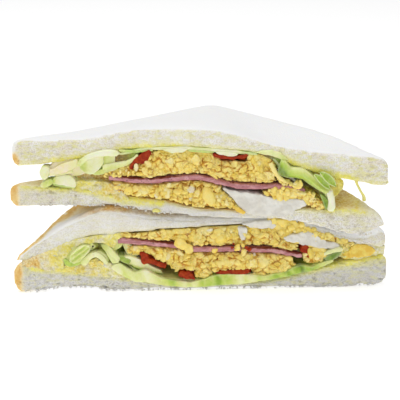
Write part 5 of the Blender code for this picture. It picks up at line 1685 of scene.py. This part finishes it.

# What shows of the leaves at the cut: (u, z) outlines between a front and a back depth. lean: how
# far the face tips back for each mm of u and z. dish: how far its middle lies back, or stands out
# below 0. ridges: their depth and how many for each mm of u and z; their troughs are painted darker
# green as shade. green, cream: tones, olive: olive-brown painted shade in hollows and under
# folds, each as one number or (u, tone) points. fall: a line of (u, z) points and the green added
# for each mm below it, painted shade that darkens the face downwards
LEAF_FACES = {
    "upper_lettuce_fold": (
        {"outline": ((-51.6, 54.2), (-50.4, 56.2), (-48.1, 58), (-44.7, 59.5), (-41.8, 60.3),
           (-38.5, 60.8), (-34.8, 60.4), (-33.4, 59.2), (-34.8, 57.9), (-38.6, 58), (-41.5, 57.8),
           (-44.4, 57.4), (-47.3, 55.9), (-49.4, 54), (-50.6, 53.2)), "front": -1.5, "back": 4,
         "green": ((-51, 0.45), (-47, 0.15), (-41, 0.02), (-35, 0.12))},
        {"outline": ((-50.4, 53.8), (-48.1, 55.5), (-44.4, 57.7), (-40.4, 58.2), (-40.2, 55),
           (-42, 52.4), (-44.2, 50.4), (-46.2, 49.8), (-48.6, 50.8), (-50.4, 52.2)),
         "front": -0.8, "back": 4, "lean": (-0.1, 0.1), "dish": 0.3,
         "green": ((-50.4, 0.66), (-48.6, 0.55), (-46.6, 0.22), (-43, 0.12), (-40.4, 0.28))},
        {"outline": ((-40.7, 58.2), (-37.5, 59.2), (-34.4, 59.2), (-34.6, 55.8), (-36.4, 52.2),
           (-40.6, 50.9)), "front": 0.3, "back": 5, "lean": (0.1, 0.08),
         "green": ((-40.7, 0.62), (-39.4, 0.36), (-36, 0.22), (-34.5, 0.15))},
        {"outline": ((-46.6, 50.6), (-44.6, 51.2), (-41, 52.4), (-37.6, 53.4), (-34, 53.8),
           (-34.6, 52.2), (-38, 51), (-41, 49.9), (-44.2, 49.3)), "front": -0.5, "back": 4,
         "green": ((-46, 0.5), (-42, 0.6), (-38, 0.35), (-34, 0.2))},
        {"outline": ((-35.6, 59.6), (-33.4, 60.2), (-29, 60.2), (-26.6, 59.4), (-28.6, 56.8),
           (-31.6, 54.8), (-35.8, 54)), "front": 0.2, "back": 6, "green": 0.8,
         "olive": ((-35.5, 0.95), (-31, 0.8), (-28, 0.3))},
        {"outline": ((-30.6, 55.6), (-29.8, 57.2), (-28.6, 58.4), (-27.2, 59.4), (-26, 58.8),
           (-27.6, 57.2), (-29.2, 55.8)), "front": 0.8, "back": 4, "green": 0.62,
         "olive": ((-32, 0.35), (-29.5, 0.15), (-26, 0))},
        {"outline": ((-41, 54.2), (-37.6, 54.8), (-34.9, 55.3), (-31.1, 56), (-28.6, 57.3),
           (-26.4, 59), (-25.8, 58.2), (-28, 55.6), (-30.8, 53.9), (-34.9, 52.6), (-38, 52),
           (-40.8, 51.8)), "front": -0.9, "back": 4, "dish": -0.3,
         "green": ((-41, 0.3), (-37, 0.15), (-31, 0.05), (-26, 0.15)),
         "fall": (((-41, 53.4), (-26, 59.6)), 0.12)},
        {"outline": ((-47, 56.4), (-40, 58.4), (-34, 58.8), (-33.4, 54.4), (-36, 51.6),
           (-42, 50.2), (-46.6, 50.8)), "front": 1.4, "back": 5,
         "green": ((-47, 0.6), (-38, 0.4), (-33, 0.5))},
        {"outline": ((-34, 60.6), (-26.8, 60.4), (-20, 60.9), (-20, 60.2), (-26.6, 59.4),
           (-34, 59.8)), "front": -0.7, "back": 3, "green": ((-34, 0.5), (-28, 0.8), (-20, 0.7))},
        {"outline": ((-17, 61.5), (-13, 61.6), (-8, 61.8), (-5.4, 61.2), (-7.4, 60), (-12, 59.6),
           (-15, 60.3)), "front": -0.8, "back": 3, "green": ((-17, 0.4), (-13, 0.1), (-6, 0.05))},
        {"outline": ((5.6, 60.5), (9.4, 60.7), (13.6, 60.2), (15.6, 59.4), (13.2, 58.5),
           (9, 58.9), (6.6, 59.5)), "front": -1, "back": 3, "dish": -0.3, "green": 0.1},
        {"outline": ((-5.6, 60.9), (1, 60.8), (5.4, 60.6), (5.4, 60), (1, 59.8), (-5.6, 60.3)),
         "front": -0.7, "back": 3, "green": 0.7}),
    "upper_lettuce_flap": (
        {"outline": ((-63.4, 52.4), (-61.4, 54.6), (-57, 55.8), (-52, 56.8), (-47.6, 57),
           (-47, 50.4), (-50, 49), (-54, 48.4), (-60, 48.6)), "front": 0.9, "back": 7,
         "green": 0.3, "cream": ((-62, 0.9), (-48, 0.7))},
        {"outline": ((-67, 51.6), (-66, 52.8), (-64.4, 53.1), (-63, 52.6), (-62.8, 50.8),
           (-63.6, 48.4), (-64.8, 47.6), (-66.2, 47.9), (-67.1, 49.6)), "front": -1.7, "back": 5,
         "dish": -0.5, "green": 0.16},
        {"outline": ((-63.8, 52.2), (-62, 51.7), (-59.4, 53.4), (-56.5, 54.7), (-53.6, 55.7),
           (-51.4, 56.4), (-50.4, 53.8), (-52.6, 52), (-56.2, 50.8), (-59.5, 49.9),
           (-63.4, 48.9)), "front": -0.9, "back": 9, "lean": (0, 0.12), "green": 0.2,
         "cream": ((-63, 0.85), (-56, 0.9), (-52, 0.5))},
        {"outline": ((-62.8, 49.2), (-59.5, 50.2), (-56.2, 51), (-53, 52), (-53.6, 50.4),
           (-57, 49.4), (-60, 48.8)), "front": -0.5, "back": 8, "green": 0.4, "cream": 0.35}),
    "upper_lettuce_scrap": (
        {"outline": ((-67, 44.6), (-66.2, 46.2), (-64, 47.4), (-62.2, 47.8), (-61, 46.8),
           (-62.1, 45.2), (-64.4, 44), (-66.2, 43.6)), "front": -1.4, "back": 5,
         "green": ((-67, 0.3), (-64, 0.5), (-61, 0.75)), "dish": -0.3},
        {"outline": ((-62.4, 46.9), (-60.6, 48.7), (-57.6, 49.6), (-54.6, 49.4), (-52.6, 47.8),
           (-51.8, 45.6), (-52.4, 44.2), (-55.5, 44.6), (-58.8, 45.1), (-61.6, 45.6)),
         "front": -1, "back": 6, "lean": (0, 0.15),
         "green": ((-62, 0.85), (-60.2, 0.3), (-57, 0.12), (-53, 0.18))},
        {"outline": ((-62, 45.8), (-58.8, 45.6), (-55.5, 45.2), (-52.2, 44.8), (-52, 43.9),
           (-55.5, 44), (-58.8, 44.5), (-61.8, 45.1)), "front": -1.2, "back": 4,
         "green": ((-62, 0.9), (-57, 0.75), (-52, 0.6))}),
    "upper_lettuce_rib": (
        {"outline": ((32.6, 57.7), (34.6, 57.3), (35.9, 55.4), (37.1, 54.4), (40.4, 54.5),
           (42.9, 53.4), (45, 51.8), (47.5, 49.4), (50, 47.3), (52.9, 45.5), (54.1, 44.2),
           (51.7, 43.4), (49.6, 44.4), (47.1, 45.8), (44.2, 47.7), (41.7, 49.6), (38.8, 50.3),
           (35.6, 50.2), (33.1, 50.8), (31.4, 52.2), (31.6, 54.9)), "front": -2.2, "back": 4,
         "dish": -1.2, "uneven": 0.15,
         "green": ((31.4, 0.86), (33.4, 0.66), (36, 0.48), (40, 0.38), (46, 0.44), (54, 0.46)),
         "fall": (((31, 57.6), (36, 55.4), (40, 54.4), (43, 53.2), (47, 49.8), (50, 47.2),
           (54, 44.6)), 0.1)},
        {"outline": ((22, 60.4), (24.8, 61.4), (28.9, 61.6), (32.5, 60.4), (35.6, 57.7),
           (34.2, 56.7), (31.8, 57.9), (28.1, 59.3), (24.8, 59.7)), "front": -0.9, "back": 3,
         "dish": -0.2, "green": ((22, 0.5), (27, 0.3), (32, 0.35), (36, 0.6))},
        {"outline": ((23.4, 60.6), (32.2, 58.3), (33.4, 56.5), (33, 52.8), (31.2, 53.6),
           (30.4, 56), (27.4, 57.8), (24, 59.4)), "front": 0.2, "back": 5, "green": 1,
         "olive": ((24, 1), (28, 0.75), (31, 0.15))},
        {"outline": ((50.9, 45.6), (52.2, 45.2), (53.7, 45.3), (54.8, 41.9), (55.3, 38),
           (54.4, 36.4), (52.8, 36.1), (51.9, 37), (52.3, 40.4), (51.6, 43.2)), "front": -2.6,
         "back": 2, "dish": -0.4, "green": 0.04},
        {"outline": ((48.6, 43.4), (50.8, 42.2), (52.4, 40.8), (52.1, 37), (51.2, 36.8),
           (50.4, 39), (49.4, 41.4)), "front": -1.5, "back": 2, "green": 0.9}),
    "lower_lettuce_curl": (
        {"outline": ((-58, 13.4), (-56.8, 16.8), (-54.4, 19.8), (-50.6, 21.8), (-46.8, 22.3),
           (-45, 21.2), (-46, 18.8), (-48.6, 16.4), (-50.4, 14.6), (-54, 12.2), (-57.4, 11.8)),
         "front": 0.2, "back": 7, "green": 0.42, "uneven": 0.4},
        {"outline": ((-55.2, 14.6), (-54.8, 16.6), (-53.2, 18.6), (-51.4, 20.1), (-49.2, 21),
           (-47.2, 21.1), (-46, 20.2), (-46.4, 18.8), (-47.8, 17.2), (-49.1, 15.6), (-50.8, 13.9),
           (-52.8, 13), (-54.6, 13.5)), "front": -2, "back": 7, "dish": 0.5,
         "ridges": (0.28, -0.32, 0.42), "green": 0.5, "rim": 0.9},
        {"outline": ((-57.8, 14.9), (-56.4, 14.9), (-55, 13.8), (-52.8, 13.2), (-50.6, 14.2),
           (-48.6, 15.9), (-46.8, 16.9), (-46.2, 15.9), (-48.6, 13.7), (-51.4, 11.9), (-54.8, 11),
           (-57.2, 12.2)), "front": -0.8, "back": 6, "lean": (0, -0.15),
         "green": ((-58, 0.65), (-54, 0.8), (-50, 0.6), (-46, 0.3))},
        {"outline": ((-50, 15.2), (-48, 18.6), (-46.6, 21), (-43.6, 22), (-40, 21.2),
           (-38.4, 18.3), (-36.6, 13.6), (-38.5, 11.4), (-43, 11.6)), "front": 3.6, "back": 8,
         "lean": (-0.3, 0), "green": ((-48, 0.85), (-43, 0.85), (-38, 0.7)),
         "olive": ((-48, 1), (-44, 0.85), (-41, 0.35), (-39, 0.05))}),
    "lower_lettuce_arch": (
        {"outline": ((-50.8, 13.7), (-49.1, 15.9), (-46.6, 17.4), (-43.6, 17.7), (-41.4, 16.5),
           (-39.7, 14.4), (-38.9, 12.6), (-40.4, 12.2), (-42, 14.2), (-43.7, 15.6), (-45.3, 15.4),
           (-46.6, 14.1), (-47.9, 12.3), (-50, 11.7)), "front": -1.4, "back": 9, "dish": -0.3,
         "green": ((-51, 0.5), (-47, 0.25), (-43, 0.18), (-39, 0.35))},
        {"outline": ((-42, 21.2), (-39, 20.9), (-37.4, 18.9), (-35.3, 16.4), (-34, 14.8),
           (-34.5, 12.8), (-37.1, 12.4), (-38.7, 14.9), (-40.1, 17.7), (-41.6, 19.6)),
         "front": -1, "back": 8, "green": ((-42, 0.6), (-38, 0.4), (-34, 0.3)),
         "olive": ((-42, 0.3), (-40, 0.12), (-37, 0))}),
    "lower_lettuce_sheet": (
        {"outline": ((-41, 21.6), (-38.1, 23.2), (-34, 23.8), (-32.4, 21), (-34.2, 18.4),
           (-36.4, 17.6), (-38.6, 19)), "front": 0.8, "back": 6, "green": 0.42, "uneven": 0.4},
        {"outline": ((-33.4, 20.6), (-30.6, 21), (-27.4, 18.8), (-26.4, 15.2), (-30, 14.8),
           (-31.4, 16.2), (-32, 17.8)), "front": 1.2, "back": 6, "green": 0.3,
         "olive": ((-33, 0.3), (-31, 0))},
        {"outline": ((-35.1, 15.8), (-32.8, 15.8), (-30.6, 14.8), (-29.3, 13.7), (-30.4, 11.8),
           (-32.9, 12.7), (-34.7, 14.1)), "front": -0.5, "back": 6, "green": 0.85, "olive": 0.15},
        {"outline": ((-32.6, 15.7), (-29.5, 15.5), (-26.4, 14.5), (-23.8, 12.9), (-20.6, 10.4),
           (-17, 8.4), (-16, 6.4), (-21.6, 7), (-25.4, 8.6), (-28.6, 10.4), (-31.2, 12.6)),
         "front": 0.8, "back": 6, "lean": (0, -0.35),
         "green": ((-33, 0.35), (-27, 0.12), (-16, 0.3)),
         "fall": (((-31, 12.4), (-26, 11), (-22, 9), (-16, 7)), 0.35)},
        {"outline": ((-38, 11.2), (-36.5, 12.4), (-34, 12.6), (-31.2, 10.4), (-27.9, 8.4),
           (-25.8, 8.9), (-22.9, 9.6), (-20.8, 8.2), (-17.5, 6.2), (-12.4, 4.8), (-4.8, 3.8),
           (0, 4.6), (4, 6.2), (7.8, 7.1), (16.2, 6.9), (22, 6.6), (25.6, 5.8), (30, 6.5),
           (35.3, 7.8), (38, 9.1), (41.6, 10.5), (46.7, 9.4), (50.9, 11.5), (55.1, 12.6),
           (56, 11.8), (52.2, 9.8), (46.7, 7.5), (41.6, 6.6), (35.3, 5), (25.6, 3.4), (16.3, 2.3),
           (7.8, 2), (0, 1.4), (-4.9, 1.3), (-11.2, 1.8), (-17.5, 2.6), (-21.7, 3.6), (-28, 4.4),
           (-32.1, 6.4), (-37, 9.6)), "front": -1.2, "back": 2.4, "dish": -0.2,
         "ridges": (0.16, 0.16, 0.05),
         "green": ((-38, 0.35), (-34, 0.3), (-30, 0.45), (-24, 0.22), (-19, 0.3), (-15, 0.62),
           (-11, 0.7), (-7, 0.3), (-2, 0.4), (2, 0.7), (8, 0.82), (12, 0.5), (17, 0.25),
           (22, 0.3), (27, 0.6), (33, 0.75), (39, 0.9), (44, 0.85), (48, 0.7), (54, 0.45))},
        {"outline": ((51, 13.2), (54.2, 14.9), (57.4, 15.9), (59.4, 16.2), (58.4, 14.2),
           (55.6, 12.2), (53, 11.6)), "front": -1, "back": 3, "green": 1},
        {"outline": ((50.4, 15), (53.6, 16.8), (57.4, 18), (60, 17.4), (59.4, 16), (56.2, 15.6),
           (52.8, 14.6), (51, 13.6)), "front": -1.3, "back": 3, "green": 0.3}),
}


def leaf_face(look, seed):
    """One visible face of a leaf with its tones."""
    front = look["front"]
    points, faces, inside = patch_net(look["outline"], front, look["back"],
                                      look.get("lean", (0.0, 0.0)), look.get("dish", 0.0),
                                      uneven=look.get("uneven", 0.24), seed=seed)
    u, _, z = points.T.copy()
    tones = {name: along(look.get(name, 0.0), u) for name in ("green", "cream", "olive")}
    if "ridges" in look:
        depth, across, up = look["ridges"]
        wave = np.sin(math.tau * (u * across + z * up) + 1.5 * swell(points, 3.0, seed))
        points[:, 1] += depth * wave * (1 - ramp(points[:, 1], front + 0.4, front + 2.0))
        # Painted shade: the ridges' troughs are darker green
        tones["green"] += 0.6 * depth * wave
    # Painted shade: darker green below the line
    if "fall" in look:
        line, rate = look["fall"]
        tones["green"] += rate * np.maximum(along(line, u) - z, 0.0)
    rim = (1 - ramp(inside, 0.15, 0.75)) * look.get("rim", 0.45)
    return points, faces, {**tones, "rim": rim, "leaf_u": u, "leaf_v": z}


# Leaflets of the curl on the thick rib: start and end as (u, v, z), width, seed
CURL_LOBES = (((46.2, -2.7, 52.2), (52.6, -2.3, 46.0), 2.9, 4),
              ((48.6, -2.4, 53.0), (55.0, -2.0, 47.2), 3.3, 2))


class SANDWICH_OT_lettuce(bpy.types.Operator):
    """Make the lettuce leaves of both halves"""
    bl_idname = "sandwich.lettuce"
    bl_label = "Lettuce"

    def execute(self, context):
        settings = context.scene.sandwich_leaf
        finish = leaf_finish(settings.vivid, settings.pale)
        for name, look in LEAVES.items():
            piece = Piece(name + "_leaf").add(*leaf_net(half_of(name), look))
            for number, face in enumerate(LEAF_FACES[name]):
                piece.add(*leaf_face(face, look["seed"] * 10 + number))
            piece.place(finish, "lettuce", name)
        curl = Piece("upper_lettuce_curl_lobes")
        for lobe in CURL_LOBES:
            curl.add(*lobe_net(*lobe))
        curl.place(finish, "lettuce", "upper_lettuce_curl")
        return {"FINISHED"}


# ---------------------------------------------------------------- stage

class SANDWICH_OT_stage(bpy.types.Operator):
    """Set the pale floor, the soft lights and the camera"""
    bl_idname = "sandwich.stage"
    bl_label = "Stage"

    def execute(self, context):
        settings = context.scene.sandwich_stage
        floor_finish = Finish("pale_floor")
        floor_finish.set(Base_Color=colour(250, 250, 250), Roughness=0.95, Specular_IOR_Level=0.1,
                         Emission_Color=(1.0, 1.0, 1.0, 1.0), Emission_Strength=0.35)
        mesh = bpy.data.meshes.new("floor")
        mesh.from_pydata([(-3, -2, 0), (3, -2, 0), (3, 6, 0), (-3, 6, 0)], [], [(0, 1, 2, 3)])
        mesh.materials.append(floor_finish.material)
        floor = bpy.data.objects.new("floor", mesh)
        context.scene.collection.objects.link(floor)
        world = bpy.data.worlds.new("studio")
        world.use_nodes = True
        back = world.node_tree.nodes["Background"]
        back.inputs["Color"].default_value = (1.0, 1.0, 1.0, 1.0)
        back.inputs["Strength"].default_value = settings.sky
        context.scene.world = world
        for name, place, size, power in (
                ("overhead", (-0.15, -0.1, 1.1), 0.9, settings.key),
                ("front_left", (-0.5, -0.8, 0.7), 0.5, settings.key * 0.15),
                ("front_right", (0.7, -0.7, 0.5), 0.5, settings.key * 0.07)):
            light = bpy.data.lights.new(name, "AREA")
            light.energy = power
            light.size = size
            lamp = bpy.data.objects.new(name, light)
            lamp.location = place
            aim = Vector((0.0, -0.02, 0.03)) - Vector(place)
            lamp.rotation_euler = aim.to_track_quat("-Z", "Y").to_euler()
            context.scene.collection.objects.link(lamp)
        optics = bpy.data.cameras.new("camera")
        optics.lens = settings.lens
        optics.sensor_width = 36.0
        optics.clip_start = 0.01
        camera = bpy.data.objects.new("camera", optics)
        target = Vector((0.0, -0.026, 0.033))
        pitch, turn = math.radians(0.5365), math.radians(0.0549)
        sight = Vector((0.0, math.cos(settings.elevation), -math.sin(settings.elevation)))
        camera.location = target - sight * settings.distance
        camera.rotation_euler = (math.pi / 2 - settings.elevation + pitch, 0.0, turn)
        context.scene.collection.objects.link(camera)
        context.scene.camera = camera
        context.scene.view_settings.view_transform = "Standard"
        context.scene.view_settings.look = "None"
        return {"FINISHED"}


class SANDWICH_PT_sidebar(bpy.types.Panel):
    """The sandwich's pieces and what can be changed on them"""
    bl_label = "Sandwich"
    bl_idname = "SANDWICH_PT_sidebar"
    bl_space_type = "VIEW_3D"
    bl_region_type = "UI"
    bl_category = "Sandwich"

    def draw(self, context):
        for name, group in SETTINGS.items():
            box = self.layout.box()
            settings = getattr(context.scene, name)
            for field in group.__annotations__:
                box.prop(settings, field)
        for operator in OPERATORS:
            self.layout.operator(operator.bl_idname)


OPERATORS = (SANDWICH_OT_stage, SANDWICH_OT_bread, SANDWICH_OT_egg, SANDWICH_OT_ham,
             SANDWICH_OT_tomato, SANDWICH_OT_egg_white, SANDWICH_OT_dressing, SANDWICH_OT_lettuce)


def register():
    for group in SETTINGS.values():
        bpy.utils.register_class(group)
    for operator in OPERATORS:
        bpy.utils.register_class(operator)
    bpy.utils.register_class(SANDWICH_PT_sidebar)
    for name, group in SETTINGS.items():
        setattr(bpy.types.Scene, name, PointerProperty(type=group))


def unregister():
    for name in SETTINGS:
        delattr(bpy.types.Scene, name)
    bpy.utils.unregister_class(SANDWICH_PT_sidebar)
    for operator in reversed(OPERATORS):
        bpy.utils.unregister_class(operator)
    for group in reversed(list(SETTINGS.values())):
        bpy.utils.unregister_class(group)


def main():
    register()
    for operator in OPERATORS:
        family, name = operator.bl_idname.split(".")
        getattr(getattr(bpy.ops, family), name)()


if __name__ == "__main__":
    main()
